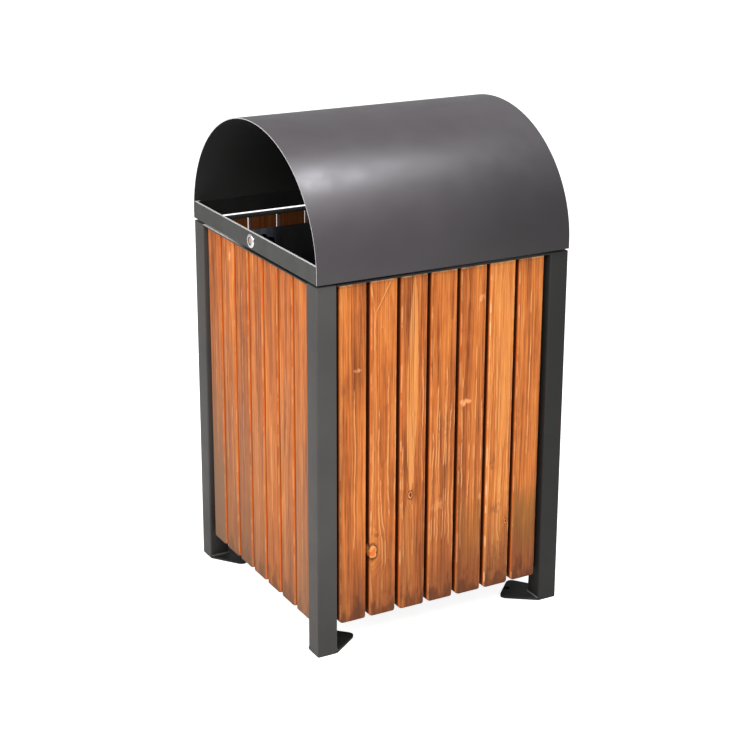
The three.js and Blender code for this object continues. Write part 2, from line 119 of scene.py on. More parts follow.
class Graph:
    """A material being built. A value given to a node is a number, a colour or a node's output."""

    def __init__(self, name, roughness=0.5, metallic=0.0, specular=0.5):
        self.material = bpy.data.materials.new(name)
        self.material.use_nodes = True
        self.tree = self.material.node_tree
        self.shader = self.tree.nodes["Principled BSDF"]
        self.shader.inputs["Roughness"].default_value = roughness
        self.shader.inputs["Metallic"].default_value = metallic
        self.shader.inputs["Specular IOR Level"].default_value = specular

    def feed(self, socket, value):
        if isinstance(value, bpy.types.NodeSocket):
            self.tree.links.new(value, socket)
        else:
            socket.default_value = value

    def node(self, kind, inputs, output=0, **settings):
        made = self.tree.nodes.new("ShaderNode" + kind)
        for key, value in settings.items():
            setattr(made, key, value)
        for key, value in inputs.items():
            self.feed(made.inputs[key], value)
        return made.outputs[output]

    def place(self):
        return self.node("TexCoord", {}, output=3)

    def normal(self):
        return self.node("TexCoord", {}, output=1)

    def attribute(self, name):
        return self.node("Attribute", {}, output=1, attribute_name=name)

    def axes(self, vector):
        made = self.tree.nodes.new("ShaderNodeSeparateXYZ")
        self.feed(made.inputs[0], vector)
        return made.outputs

    def math(self, operation, *values):
        return self.node("Math", dict(enumerate(values)), operation=operation)

    def times(self, value, *others):
        for other in others:
            value = self.math("MULTIPLY", value, other)
        return value

    def plus(self, value, other):
        return self.math("ADD", value, other)

    def minus(self, value, other):
        return self.math("SUBTRACT", value, other)

    def scaled(self, value, scale, shift):
        """A value times a scale, then moved by a shift."""
        return self.math("MULTIPLY_ADD", value, scale, shift)

    def squares(self, first, second):
        return self.plus(self.times(first, first), self.times(second, second))

    def distance(self, first, second):
        """How far off a point lies, from its offsets both ways."""
        return self.math("SQRT", self.squares(first, second))

    def stretch(self, vector, scale, shift=(0.0, 0.0, 0.0)):
        return self.node("VectorMath", {0: vector, 1: scale, 2: shift}, operation="MULTIPLY_ADD")

    def noise(self, vector, scale=1.0, detail=2.0, roughness=0.5):
        inputs = {"Vector": vector, "Scale": scale, "Detail": detail, "Roughness": roughness}
        return self.node("TexNoise", inputs)

    def field(self, place, scale, shift, detail=2.0):
        """A noise with its own scale along each axis."""
        return self.noise(self.stretch(place, scale, shift), 1.0, detail)

    def swing(self, value, size):
        """A noise of 0 to 1 as a swing of plus and minus size."""
        return self.scaled(value, 2 * size, -size)

    def between(self, value, low, high, out_low=0.0, out_high=1.0):
        """Goes smoothly from out_low to out_high as value goes from low to high."""
        limits = {"From Min": low, "From Max": high, "To Min": out_low, "To Max": out_high}
        return self.node("MapRange", {"Value": value, **limits}, interpolation_type="SMOOTHSTEP")

    def mix(self, factor, first, second):
        return self.node("Mix", {0: factor, 6: first, 7: second}, output=2, data_type="RGBA")

    def ramp(self, value, stops):
        made = self.tree.nodes.new("ShaderNodeValToRGB")
        elements = made.color_ramp.elements
        while len(elements) < len(stops):
            elements.new(0.5)
        for element, (position, colour) in zip(elements, stops):
            element.position = position
            element.color = colour
        self.feed(made.inputs[0], value)
        return made.outputs[0]

    def curve(self, value, points):
        """A smooth course through points whose two numbers both run from 0 to 1."""
        made = self.tree.nodes.new("ShaderNodeFloatCurve")
        made.mapping.extend = "HORIZONTAL"
        line = made.mapping.curves[0]
        line.points[0].location, line.points[1].location = points[0], points[-1]
        for point in points[1:-1]:
            line.points.new(*point)
        for point in line.points:
            point.handle_type = "AUTO_CLAMPED"
        made.mapping.update()
        self.feed(made.inputs["Value"], value)
        return made.outputs[0]

    def colour(self, value):
        self.feed(self.shader.inputs["Base Color"], value)

    def roughness(self, value):
        self.feed(self.shader.inputs["Roughness"], value)

    def bump(self, height, strength, distance):
        inputs = {"Strength": strength, "Distance": distance, "Height": height}
        self.feed(self.shader.inputs["Normal"], self.node("Bump", inputs))


# ---------------------------------------------------------------- metal, plastic and rubber

BLACK = (0.0, 0.0, 0.0, 1.0)
# white for the painted highlight along the upper front edges of the rim and the front top bar
PAINTED_EDGE_HIGHLIGHT = (1.0, 1.0, 1.0, 1.0)
DEEP_SHADE = linear(24, 24, 24)
GROUND_SHADE_TOP = 0.32  # height at which the shade near the ground has gone
LEAST_GROUND_SHADE = 0.35  # its share on faces that don't look right
REAR_SHADE_PLACES = (-0.2, 0.25)  # from front to rear, where the vault's shade starts and is full
REAR_SHADE_HEIGHTS = (0.905, 0.83)  # the same from the crest down
EDGE_HIGHLIGHT_PLACES = (10 * MM, 9 * MM)  # in from the rim's front, where the painted highlight on the upper edges starts and is full
EDGE_HIGHLIGHT_FADE = 0.06  # half the length over which the painted highlight fades out to the right
ALL_THE_WAY = 9.0  # further right than the bin goes
# where the painted highlight on the front top bar's upper edge ends, to the right
BAR_PALE_UNTIL = -0.07
RIM_SHADE_DEPTH = 3.4 * MM  # in from the outside of the rim's sides


def speckled(g, place, cloud_scale, dark, light):
    """Soft clouds under a sparkle of grains; returns the clouds and the paint's colour."""
    clouds = g.noise(place, cloud_scale, 3.0)
    grains = g.noise(place, 2600.0, 1.0)
    tone = g.plus(g.swing(grains, 0.35), clouds)
    return clouds, g.ramp(tone, [(0.25, dark), (0.75, light)])


def orange_peel(g, place, smoothest, roughest):
    """The fine relief of sprayed paint, its roughness going slowly between two values."""
    g.roughness(g.between(g.noise(place, 24.0, 4.0), 0.3, 0.7, smoothest, roughest))
    g.bump(g.noise(place, 1500.0, 2.0), 0.12, 0.0004)


def powder_coat(name, dark, light, roughness, specular=0.5, metallic=0.0, ground=1.0, rear=1.0):
    """Powder-coated steel. ground and rear are the shares of its tone that are left at ground
    level and low at the back, where little light comes: painted shade, which near the ground
    is strongest on faces that look right."""
    g = Graph(name, metallic=metallic, specular=specular)
    place = g.place()
    _, paint = speckled(g, place, 5.0, dark, light)
    # painted shade near the ground, strongest on faces that look right
    if ground < 1.0:
        low_down = g.between(g.axes(place)[2], 0.0, GROUND_SHADE_TOP, 1.0 - ground, 0.0)
        rightward = g.between(g.axes(g.normal())[0], 0.0, 0.9, LEAST_GROUND_SHADE, 1.0)
        paint = g.mix(g.times(low_down, rightward), paint, BLACK)
    # painted shade low at the back of the vault
    if rear < 1.0:
        _, y, z = g.axes(place)
        far_back = g.between(y, *REAR_SHADE_PLACES, 0.0, 1.0 - rear)
        paint = g.mix(g.times(far_back, g.between(z, *REAR_SHADE_HEIGHTS)), paint, BLACK)
    g.colour(paint)
    orange_peel(g, place, roughness - 0.03, roughness + 0.04)
    return g.material


def rim_paint(name, dark, light, pale_until, dark_within):
    """Powder coat with a painted highlight along its upper edges in front, as far right as pale_until.
    Faces nearer the middle than dark_within lie in the shade of the vault."""
    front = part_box("lid_rim")[0].y
    g = Graph(name)
    place = g.place()
    clouds, paint = speckled(g, place, 9.0, dark, light)
    x, y, _ = g.axes(place)
    out = g.math("MAXIMUM", g.math("ABSOLUTE", x), g.math("ABSOLUTE", y))
    inside = g.between(out, dark_within + 0.2 * MM, dark_within - 0.2 * MM)
    paint = g.mix(inside, paint, DEEP_SHADE)
    # painted highlight on upward faces at the front, fading out past pale_until
    painted_highlight = g.times(
        g.between(g.axes(g.normal())[2], 0.45, 0.9),
        g.between(clouds, 0.2, 0.4, 0.9, 1.0),
        g.between(y, front + EDGE_HIGHLIGHT_PLACES[0], front + EDGE_HIGHLIGHT_PLACES[1]),
        g.between(x, pale_until + EDGE_HIGHLIGHT_FADE, pale_until - EDGE_HIGHLIGHT_FADE),
    )
    g.colour(g.mix(painted_highlight, paint, PAINTED_EDGE_HIGHLIGHT))
    orange_peel(g, place, 0.45, 0.56)
    return g.material


def scratched(g, place, roughness):
    """The relief and roughness of worked metal; returns a tone of scratches and faint stains."""
    scratches = g.noise(place, 900.0, 3.0)
    stains = g.noise(place, 60.0, 4.0)
    g.roughness(g.between(stains, 0.3, 0.7, roughness - 0.06, roughness + 0.1))
    g.bump(scratches, 0.15, 0.0001)
    return g.plus(g.swing(scratches, 0.3), stains)


def brushed_steel(name, dark, light, roughness):
    """Plated or ground steel."""
    g = Graph(name, metallic=1.0)
    g.colour(g.ramp(scratched(g, g.place(), roughness), [(0.2, dark), (0.8, light)]))
    return g.material


GAP_SHADE_INSIDE = (4.8 * MM, 5.6 * MM)  # radii between which the painted shade of the gap round the plug comes in
GAP_SHADE_OUTSIDE = (8.0 * MM, 7.2 * MM)  # and goes again
PLATED_DEPTH = 4.0 * MM  # how far in from the front the lock is plated; behind that it is black, as painted shade


def lock_metal(name, dark, light, roughness):
    """Plated where the lock shows in front, black inside the lid as painted shade, and a ring of painted
    shade round the plug.
    """
    low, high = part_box("lock_housing")
    middle = (low.z + high.z) / 2
    g = Graph(name, metallic=1.0)
    place = g.place()
    x, y, z = g.axes(place)
    tone = scratched(g, place, roughness)
    plate = g.ramp(tone, [(0.2, dark), (0.8, light)])
    black = g.ramp(tone, [(0.2, linear(26, 26, 27)), (0.8, linear(40, 40, 42))])
    radius = g.distance(x, g.minus(z, middle))
    # painted shade of the thin gap round the plug
    gap_shade = g.times(g.between(radius, *GAP_SHADE_INSIDE), g.between(radius, *GAP_SHADE_OUTSIDE), 0.85)
    plate = g.mix(gap_shade, plate, linear(66, 44, 40))
    # painted shade: black behind the plated front, inside the lid
    inside = g.between(y, low.y + PLATED_DEPTH, low.y + PLATED_DEPTH + 0.4 * MM)
    g.colour(g.mix(inside, plate, black))
    return g.material


LINER_SHEEN = (0.018, 0.053, 0.005)  # where the painted sheen lies: in from the front left of the liner and down from its lip


def moulded_plastic(name):
    """Black polypropylene: leathery mould grain, scuffs, dust, and a painted bluish sheen on the
    front left corner of the lip."""
    low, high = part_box("liner")
    sheen = (low.x + LINER_SHEEN[0], low.y + LINER_SHEEN[1], high.z - LINER_SHEEN[2])
    g = Graph(name, specular=0.4)
    place = g.place()
    scuffs = g.noise(g.stretch(place, (1.0, 1.0, 0.25)), 90.0, 5.0, 0.7)
    dust = g.noise(place, 14.0, 3.0)
    tone = g.plus(g.swing(scuffs, 0.3), dust)
    colour = g.ramp(tone, [(0.3, linear(13, 13, 15)), (0.8, linear(27, 28, 32))])
    # painted sheen round the front left corner of the lip
    apart = g.node("VectorMath", {0: place, 1: sheen}, output=1, operation="DISTANCE")
    painted_sheen = g.times(g.between(apart, 0.060, 0.015), g.between(scuffs, 0.3, 0.6, 0.5, 0.9))
    g.colour(g.mix(painted_sheen, colour, linear(88, 94, 108)))
    g.roughness(g.between(scuffs, 0.3, 0.7, 0.38, 0.56))
    g.bump(g.noise(place, 700.0, 3.0, 0.7), 0.25, 0.0003)
    return g.material


def rubber(name):
    g = Graph(name, specular=0.25)
    place = g.place()
    bloom = g.noise(place, 160.0, 4.0)
    g.colour(g.ramp(bloom, [(0.3, linear(20, 20, 20)), (0.8, linear(44, 43, 42))]))
    g.roughness(g.between(bloom, 0.3, 0.7, 0.7, 0.9))
    g.bump(g.noise(place, 1200.0, 2.0), 0.3, 0.0003)
    return g.material


ANCHOR_PLACE = (184.0 * MM, -184.0 * MM)  # of the hole in the front right foot
ANCHOR_RADIUS = 6.0 * MM
HOLE_SHADE = (ANCHOR_RADIUS + 2 * MM, ANCHOR_RADIUS + 4 * MM)  # radii where the painted shadow under a hole ends on the floor
SEEN_GLOW = 0.70  # added to FLOOR_GLOW where the camera sees the floor


def studio_floor(name):
    """White paper. It looks brighter to the camera than the light it throws back up, and it has
    a painted shadow under the feet's anchor holes, where its glow would show."""
    g = Graph(name, roughness=0.9, specular=0.0)
    place = g.place()
    x, y, _ = g.axes(place)
    across = g.minus(g.math("ABSOLUTE", x), ANCHOR_PLACE[0])
    along = g.plus(g.math("ABSOLUTE", y), ANCHOR_PLACE[1])
    # painted shadow where the floor shows through the anchor holes
    open_floor = g.between(g.distance(across, along), *HOLE_SHADE)
    paper = g.ramp(g.noise(place, 0.4, 2.0), [(0.3, linear(230, 230, 230)), (0.7, linear(233, 233, 233))])
    g.colour(g.mix(open_floor, DEEP_SHADE, paper))
    seen = g.node("LightPath", {}, output=0)
    g.shader.inputs["Emission Color"].default_value = (1.0, 1.0, 1.0, 1.0)
    glow = g.scaled(seen, SEEN_GLOW, FLOOR_GLOW)
    g.feed(g.shader.inputs["Emission Strength"], g.times(glow, open_floor))
    return g.material


# ---------------------------------------------------------------- stained softwood

WOOD_TONES = [
    (0.0, linear(98, 48, 20)),
    (0.25, linear(150, 79, 36)),
    (0.5, linear(198, 110, 51)),
    (0.75, linear(224, 137, 66)),
    (1.0, linear(245, 176, 102)),
]
MIDDLE_TONE = 0.56
PALE_LINE = linear(244, 168, 104)
PALE_FLAME = linear(242, 162, 88)
BOTTOM_STAIN = linear(112, 64, 38)
BURNT_FOOT = linear(74, 42, 28)
OLIVE_STAIN = linear(134, 98, 46)
GREY_CAST = linear(142, 112, 88)
# painted shade for the boards' sides deep in the gaps, and for their backs inside the bin
SIDE_SHADE = linear(84, 44, 20)
BACK_SHADE = linear(60, 30, 16)
SIDE_EDGE = linear(236, 116, 40)
# pale for the front edges, partly wear and partly painted highlight, and for the painted highlight along
# the top ends
EDGE_WEAR_AND_HIGHLIGHT = linear(255, 206, 146)
LATE_WOOD = linear(124, 62, 30)
KNOT_CORE = linear(92, 46, 24)
KNOT_ORANGE = linear(226, 122, 56)
KNOT_PALE = linear(250, 166, 98)
KNOT_RIM = linear(54, 26, 14)
BLOT_PALE = linear(250, 172, 110)
BLOT_DARK = linear(126, 66, 36)
LARGE_KNOT = 8.0  # radius in millimetres
RING_SPACING = 5.4  # millimetres between year rings at the face
HALF_BOARD = 26.0
LEAN_LEVEL = 360.0  # where a leaning board's pith is as deep as it says
TALLEST = 700.0  # the most that a course of marks takes in, up and across
WIDEST = 64.0


def course(g, height, points):
    """Where a mark lies across the board at each height, from points of height and across."""
    shares = [(up / TALLEST, across / WIDEST + 0.5) for up, across in points]
    value = g.curve(g.times(height, 1 / TALLEST), shares)
    return g.scaled(value, WIDEST, -WIDEST / 2)


def within(g, height, low, high, fade):
    """One between two heights, fading to nothing at both."""
    return g.times(g.between(height, low, low + fade), g.between(height, high, high - fade))


def knot_distance(g, across, height, knot):
    """Distance from a knot's middle in knot radii; knots are drawn out along the board."""
    middle_across, middle_height, radius = knot
    sideways = g.scaled(across, 1 / radius, -middle_across / radius)
    upwards = g.scaled(height, 0.62 / radius, -0.62 * middle_height / radius)
    return g.distance(sideways, upwards)


def ring_distance(g, place, across, depth, height, board, shift, distances):
    """Distance from the pith, which wanders up the board, and bows out round each knot."""
    pith_across, pith_depth = board["pith"]
    drift = g.swing(g.field(place, (0.0, 0.0, 0.005), shift), 9.0)
    sink = g.swing(g.field(place, (0.0, 0.0, 0.004), (shift[2], shift[0], shift[1])), 12.0)
    sideways = g.minus(g.plus(across, drift), pith_across)
    lean = g.scaled(height, board["lean"], -board["lean"] * LEAN_LEVEL)
    inwards = g.minus(g.plus(depth, g.plus(sink, lean)), pith_depth)
    wave = g.swing(g.field(place, (0.06, 0.06, 0.008), shift, 3.0), 3.0)
    distance = g.plus(g.distance(sideways, inwards), wave)
    for knot, apart in zip(board["knots"], distances):
        bow = g.math("EXPONENT", g.times(apart, apart, -0.22))
        distance = g.scaled(bow, 2.4 * knot[2], distance)
    return distance


def draw_line(g, colour, across, height, waver, breaks, points):
    """A fine pale line along the grain, with darker late wood fading away on its right."""
    middle = g.plus(course(g, height, points), waver)
    offset = g.minus(across, middle)
    ends = g.times(within(g, height, points[0][0], points[-1][0], 14.0), breaks)
    shade = g.times(g.between(offset, 0.0, 0.8), g.between(offset, 7.0, 0.8))
    colour = g.mix(g.times(shade, ends, 0.42), colour, LATE_WOOD)
    mask = g.times(g.between(g.math("ABSOLUTE", offset), 1.9, 0.5), ends)
    return g.mix(g.times(mask, 0.72), colour, PALE_LINE)


def draw_flame(g, colour, across, height, waver, flame, grain):
    """A pale flame between two edges, from rows of height, left and right."""
    strength, rows = flame
    left = course(g, height, [(up, first) for up, first, _ in rows])
    right = course(g, height, [(up, last) for up, _, last in rows])
    shifted = g.minus(across, waver)
    inside = g.math("MINIMUM", g.minus(shifted, left), g.minus(right, shifted))
    mask = g.times(g.between(inside, -0.6, 1.0), within(g, height, rows[0][0], rows[-1][0], 6.0))
    colour = g.mix(g.times(mask, grain), colour, g.mix(1.0 - strength, PALE_FLAME, colour))
    rim = g.between(g.math("ABSOLUTE", inside), 1.4, 0.3, 0.0, 0.45 * strength)
    return g.mix(g.times(mask, rim), colour, PALE_LINE)


def draw_blot(g, colour, across, height, blot, ragged):
    """A soft patch; a negative strength makes it dark."""
    middle_across, middle_height, wide, tall, strength = blot
    sideways = g.scaled(across, 1 / wide, -middle_across / wide)
    upwards = g.scaled(height, 1 / tall, -middle_height / tall)
    mask = g.between(g.plus(g.squares(sideways, upwards), ragged), 1.5, -0.6, 0.0, abs(strength))
    return g.mix(mask, colour, BLOT_PALE if strength > 0 else BLOT_DARK)


def paint_knot(g, colour, apart, radius, place, shift):
    """A brown ring and a broken darker rim round the heart, which is pale in a large knot."""
    heart = KNOT_ORANGE if radius > LARGE_KNOT else KNOT_CORE
    mottle = g.field(place, (0.11, 0.11, 0.09), shift)
    stops = [(0.0, heart), (0.25, heart), (0.45, KNOT_ORANGE), (0.7, KNOT_PALE), (0.95, KNOT_CORE)]
    core = g.ramp(g.plus(apart, g.swing(mottle, 0.9)), stops)
    colour = g.mix(g.between(apart, 1.15, 0.8), colour, core)
    edge = g.math("ABSOLUTE", g.minus(apart, 1.0))
    broken = g.between(mottle, 0.6, 0.42, 0.15, 0.6)
    return g.mix(g.times(g.between(edge, 0.3, 0.05), broken), colour, KNOT_RIM)


def wood(name, board, low, high):
    """Stained pine. The board's place is across, depth and height in millimetres."""
    g = Graph(name, specular=0.16)
    seed = board["seed"]
    shift = (seed * 3.17, seed * 5.71, seed * 9.43)
    place = g.attribute("board")
    across, depth, height = g.axes(place)

    distances = [knot_distance(g, across, height, knot) for knot in board["knots"]]
    distance = ring_distance(g, place, across, depth, height, board, shift, distances)
    phase = g.times(distance, 1 / RING_SPACING)
    year = g.math("FLOOR", phase)
    growth = g.minus(phase, year)
    own = g.node("TexWhiteNoise", {"W": g.plus(year, seed)}, noise_dimensions="1D")
    line = g.times(g.between(growth, 0.80, 0.93), g.between(growth, 1.0, 0.96), g.between(own, 0.25, 0.8))

    broad = g.field(place, (0.05, 0.05, 0.0035), shift)
    bands = g.field(place, (0.13, 0.13, 0.004), shift)
    streaks = g.field(place, (0.36, 0.36, 0.0055), shift, 3.0)
    fibres = g.field(place, (1.3, 1.3, 0.02), shift, 3.0)
    patches = g.field(place, (0.08, 0.08, 0.03), shift, 4.0)
    parts = ((broad, 0.3), (bands, 0.24), (streaks, 0.46), (fibres, 0.26), (patches, 0.14), (own, 0.08))
    tone = MIDDLE_TONE + board["tone"]
    for part, size in parts:
        tone = g.plus(g.swing(part, size), tone)
    tone = g.scaled(growth, -0.14, tone)
    colour = g.ramp(tone, WOOD_TONES)
    colour = g.mix(g.times(line, board["rings"]), colour, PALE_LINE)

    waver = g.swing(g.field(place, (0.0, 0.0, 0.035), shift), 1.6)
    breaks = g.between(g.field(place, (0.03, 0.03, 0.03), shift), 0.36, 0.56, 0.3, 1.0)
    grain = g.between(streaks, 0.32, 0.62, 0.35, 0.92)
    for flame in board["flames"]:
        colour = draw_flame(g, colour, across, height, waver, flame, grain)
    for points in board["lines"]:
        colour = draw_line(g, colour, across, height, waver, breaks, points)
    ragged = g.swing(g.field(place, (0.2, 0.2, 0.1), shift, 3.0), 2.4)
    for blot in board["blots"]:
        colour = draw_blot(g, colour, across, height, blot, ragged)

    foot = g.plus(height, g.swing(g.field(place, (0.06, 0.06, 0.006), shift, 3.0), 90.0))
    olive = g.times(within(g, foot, 80.0, 270.0, 80.0), board["olive"])
    colour = g.mix(olive, colour, OLIVE_STAIN)
    stain = g.times(g.between(foot, 260.0, 50.0), board["stain"])
    colour = g.mix(stain, colour, BOTTOM_STAIN)
    burnt = g.plus(height, g.swing(patches, 70.0))
    colour = g.mix(g.between(burnt, 96.0, 52.0, 0.0, 0.6), colour, BURNT_FOOT)
    colour = g.mix(g.times(g.between(height, 660.0, 120.0), board["cast"]), colour, GREY_CAST)

    off_middle = g.math("ABSOLUTE", across)
    outer = g.between(off_middle, HALF_BOARD - 1.8, HALF_BOARD - 0.6)
    colour = g.mix(g.times(outer, 0.75), colour, SIDE_EDGE)
    # painted shade on the sides deep in the gaps between boards, and on the backs
    deep = g.times(outer, g.between(depth, 3.0, 7.0))
    colour = g.mix(deep, colour, SIDE_SHADE)
    colour = g.mix(g.between(depth, 14.0, 17.0, 0.0, 0.8), colour, BACK_SHADE)
    # pale patches on the rounded front edges: partly wear, partly a painted highlight
    rub_and_highlight = g.field(place, (0.02, 0.02, 0.03), shift, 4.0)
    front_edge = g.times(g.between(off_middle, 22.6, 24.4), g.between(depth, 3.0, 1.0))
    rub_and_highlight = g.times(g.between(rub_and_highlight, 0.46, 0.6, 0.2, 0.9), front_edge)
    colour = g.mix(g.times(rub_and_highlight, board["wear_and_highlight"]), colour, EDGE_WEAR_AND_HIGHLIGHT)
    # a pale line along the top ends: a painted highlight where they catch the light
    top_edge = g.times(g.between(height, high - 5.0, high - 3.0), g.between(depth, 4.0, 2.0))
    colour = g.mix(g.times(top_edge, g.between(patches, 0.4, 0.6, 0.1, 0.6)), colour, EDGE_WEAR_AND_HIGHLIGHT)
    bottom_edge = g.between(height, low + 3.0, low + 0.5)
    colour = g.mix(g.times(bottom_edge, 0.55), colour, KNOT_CORE)
    for knot, apart in zip(board["knots"], distances):
        colour = paint_knot(g, colour, apart, knot[2], place, shift)
    g.colour(colour)

    g.roughness(g.between(streaks, 0.3, 0.7, 0.48, 0.66))
    relief = g.scaled(line, 0.5, fibres)
    g.bump(relief, 0.35, 0.0004)
    return g.material


# What a board shows. Places are shares of the board: across from -0.5 to 0.5, and up from 0 to 1.
# pith: where the tree's middle lay, across the board and behind its face, in millimetres; lean: how
# fast it nears the face going up; rings: how plain the year rings are; knots: across, up, radius in
# millimetres; flames: strength, start, end, middle, width, slant; lines: how many fine lines; fork:
# how far up one divides; blots: across, up, half width, half height in millimetres, strength; tone:
# darker or lighter; stain and olive: how dark or green the foot is; cast: greyness; wear_and_highlight:
# how pale the front edges are, partly from wear and partly as a painted highlight.
PLAIN_BOARD = {
    "pith": (70, 60), "lean": 0.0, "tone": 0.0, "rings": 0.3, "stain": 0.7, "olive": 0.0, "cast": 0.0,
    "wear_and_highlight": 0.5, "knots": (), "flames": (), "lines": 1, "fork": None, "blots": (),
}
BOARDS = {
    "slat_right_1": {
        "pith": (160, 40), "lean": 0.08, "tone": -0.02, "rings": 0.15, "stain": 0.6, "wear_and_highlight": 0.3,
        "blots": ((0.15, 0.75, 7, 4, 0.7), (-0.35, 0.7, 4, 14, -0.5)),
    },
    "slat_right_2": {
        "pith": (-4, 70), "tone": 0.06, "rings": 0.12, "stain": 0.55, "wear_and_highlight": 0.4, "lines": 5, "fork": 0.9,
        "knots": ((-0.4, 0.2, 9.5),), "flames": ((0.55, 0.35, 0.8, -0.35, 0.15, 0.0),),
        "blots": ((-0.2, 0.25, 10, 6, -0.6),),
    },
    "slat_right_3": {
        "pith": (-60, 44), "tone": -0.08, "rings": 0.25, "stain": 0.5, "wear_and_highlight": 0.6, "lines": 3,
        "knots": ((-0.1, 0.35, 5.0),),
        "flames": ((0.85, 0.35, 1.0, -0.1, 0.4, 0.1), (0.3, 0.0, 0.35, -0.15, 0.5, 0.0)),
    },
    "slat_right_4": {
        "pith": (14, 60), "tone": -0.02, "rings": 0.1, "stain": 0.7, "wear_and_highlight": 0.35, "lines": 7,
        "blots": ((-0.1, 0.3, 14, 12, 0.4), (0.1, 0.55, 14, 22, -0.25)),
    },
    "slat_right_5": {
        "pith": (48, 90), "tone": -0.08, "rings": 0.1, "stain": 0.65, "olive": 0.35, "wear_and_highlight": 0.35,
        "lines": 4,
        "blots": (
            (-0.3, 0.6, 9, 7, 1.0), (-0.1, 0.6, 6, 4, 0.9), (0.3, 0.9, 6, 7, 0.7), (0.4, 0.3, 4, 9, 0.8),
        ),
    },
    "slat_right_6": {
        "pith": (190, 20), "tone": 0.17, "rings": 0.3, "stain": 0.8, "wear_and_highlight": 1.0, "lines": 4,
        "knots": ((0.35, 0.2, 3.5),), "flames": ((0.45, 0.4, 1.0, 0.1, 0.5, 0.0),),
        "blots": ((-0.25, 0.4, 6, 16, -0.6), (-0.1, 0.25, 12, 12, -0.6), (0.0, 0.1, 20, 30, -0.4)),
    },
    "slat_right_7": {
        "pith": (-170, 30), "tone": -0.01, "rings": 0.4, "stain": 0.75, "olive": 0.6, "wear_and_highlight": 0.4,
        "blots": ((-0.35, 0.5, 4, 30, -0.4),),
    },
    "slat_front_1": {
        "pith": (120, 40), "tone": -0.06, "stain": 0.6, "olive": 0.4, "wear_and_highlight": 0.2, "cast": 0.75,
    },
    "slat_front_2": {
        "pith": (40, 55), "tone": -0.04, "stain": 0.5, "wear_and_highlight": 0.3, "cast": 0.4, "lines": 2,
        "blots": ((0.2, 0.95, 4, 14, 1.0),),
    },
    "slat_front_3": {
        "pith": (-80, 50), "tone": -0.08, "stain": 0.5, "wear_and_highlight": 0.3, "cast": 0.5,
        "blots": ((0.1, 0.7, 14, 26, -0.35),),
    },
    "slat_front_4": {
        "pith": (90, 45), "stain": 0.4, "wear_and_highlight": 0.3, "cast": 0.4, "blots": ((0.0, 0.9, 14, 30, -0.35),),
    },
    "slat_front_5": {"pith": (-120, 45), "tone": -0.02, "stain": 0.3, "wear_and_highlight": 0.3, "cast": 0.15},
    "slat_front_6": {
        "pith": (-30, 60), "lean": 0.04, "tone": -0.04, "stain": 0.5, "wear_and_highlight": 0.3, "cast": 0.3,
        "flames": ((0.5, 0.05, 0.8, -0.15, 0.25, -0.25),),
    },
    "slat_front_7": {"pith": (60, 55), "tone": -0.02, "stain": 0.4, "wear_and_highlight": 0.3, "cast": 0.55},
}
BOARD_WIDTH = 2 * HALF_BOARD
FLAME_STEPS = 8
LINE_STEPS = 6
LINE_WANDER = 1.6  # millimetres a step
FORK_PLACE = -0.35  # across
FORK_STEM = 0.12  # of the board's height


def make_flame(up, strength, start, end, middle, width, slant):
    """A long pale lens between two heights."""
    rows = []
    for step in range(FLAME_STEPS + 1):
        share = step / FLAME_STEPS
        half = BOARD_WIDTH * width / 2 * max(0.08, math.sin(math.pi * share) ** 0.6)
        centre = BOARD_WIDTH * (middle + slant * share)
        rows.append((up(start + (end - start) * share), centre - half, centre + half))
    return strength, rows


def make_lines(chance, up, count, knots):
    """Fine lines spread over the board, each wandering as it goes and bowing out round the knots."""
    lines = []
    for i in range(count):
        across = BOARD_WIDTH * ((i + 0.5) / count - 0.5)
        start = chance.uniform(0.02, 0.4)
        end = start + chance.uniform(0.35, 0.58)
        points = []
        for step in range(LINE_STEPS + 1):
            height = up(start + (end - start) * step / LINE_STEPS)
            across += chance.uniform(-LINE_WANDER, LINE_WANDER)
            bow = 0.0
            for knot_across, knot_height, radius in knots:
                side = 1.0 if across > knot_across else -1.0
                bow += side * radius * math.exp(-(((height - knot_height) / (4 * radius)) ** 2))
            points.append((height, across + bow))
        lines.append(points)
    return lines


def make_fork(up, height):
    """A line that divides at a height into two arms, which run to the board's top."""
    root = (up(height), BOARD_WIDTH * FORK_PLACE)
    stem = [(up(height - FORK_STEM), BOARD_WIDTH * FORK_PLACE), root]
    return [stem, [root, (up(1.0), BOARD_WIDTH * -0.5)], [root, (up(1.0), BOARD_WIDTH * 0.3)]]


def laid_out(board, name):
    """The board with its marks in millimetres, worked out from its own box."""
    low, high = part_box(name)
    chance = random.Random(name + " lines")

    def up(share):
        return (low.z + share * (high.z - low.z)) / MM

    knots = [(BOARD_WIDTH * across, up(height), radius) for across, height, radius in board["knots"]]
    lines = make_lines(chance, up, board["lines"], knots)
    if board["fork"]:
        lines += make_fork(up, board["fork"])
    blots = [(BOARD_WIDTH * blot[0], up(blot[1]), *blot[2:]) for blot in board["blots"]]
    flames = [make_flame(up, *flame) for flame in board["flames"]]
    return dict(board, knots=knots, lines=lines, blots=blots, flames=flames)


def board_of(name, number):
    """The board's own marks, or chance ones on the sides that show none."""
    chance = random.Random(name)
    board = dict(PLAIN_BOARD, seed=float(number + 1))
    if name in BOARDS:
        return laid_out(dict(board, **BOARDS[name]), name)
    board["pith"] = (chance.uniform(-120, 120), chance.uniform(35, 75))
    board["lean"] = chance.uniform(-0.05, 0.05)
    board["tone"] = chance.uniform(-0.1, 0.12)
    board["stain"] = chance.uniform(0.5, 0.8)
    board["cast"] = chance.uniform(0.0, 0.25)
    if not name.startswith("slat_front") and chance.random() < 0.6:
        place = (chance.uniform(-0.4, 0.4), chance.uniform(0.1, 0.9))
        board["knots"] = ((*place, chance.uniform(2.5, 6.5)),)
    return laid_out(board, name)


# ---------------------------------------------------------------- mesh building

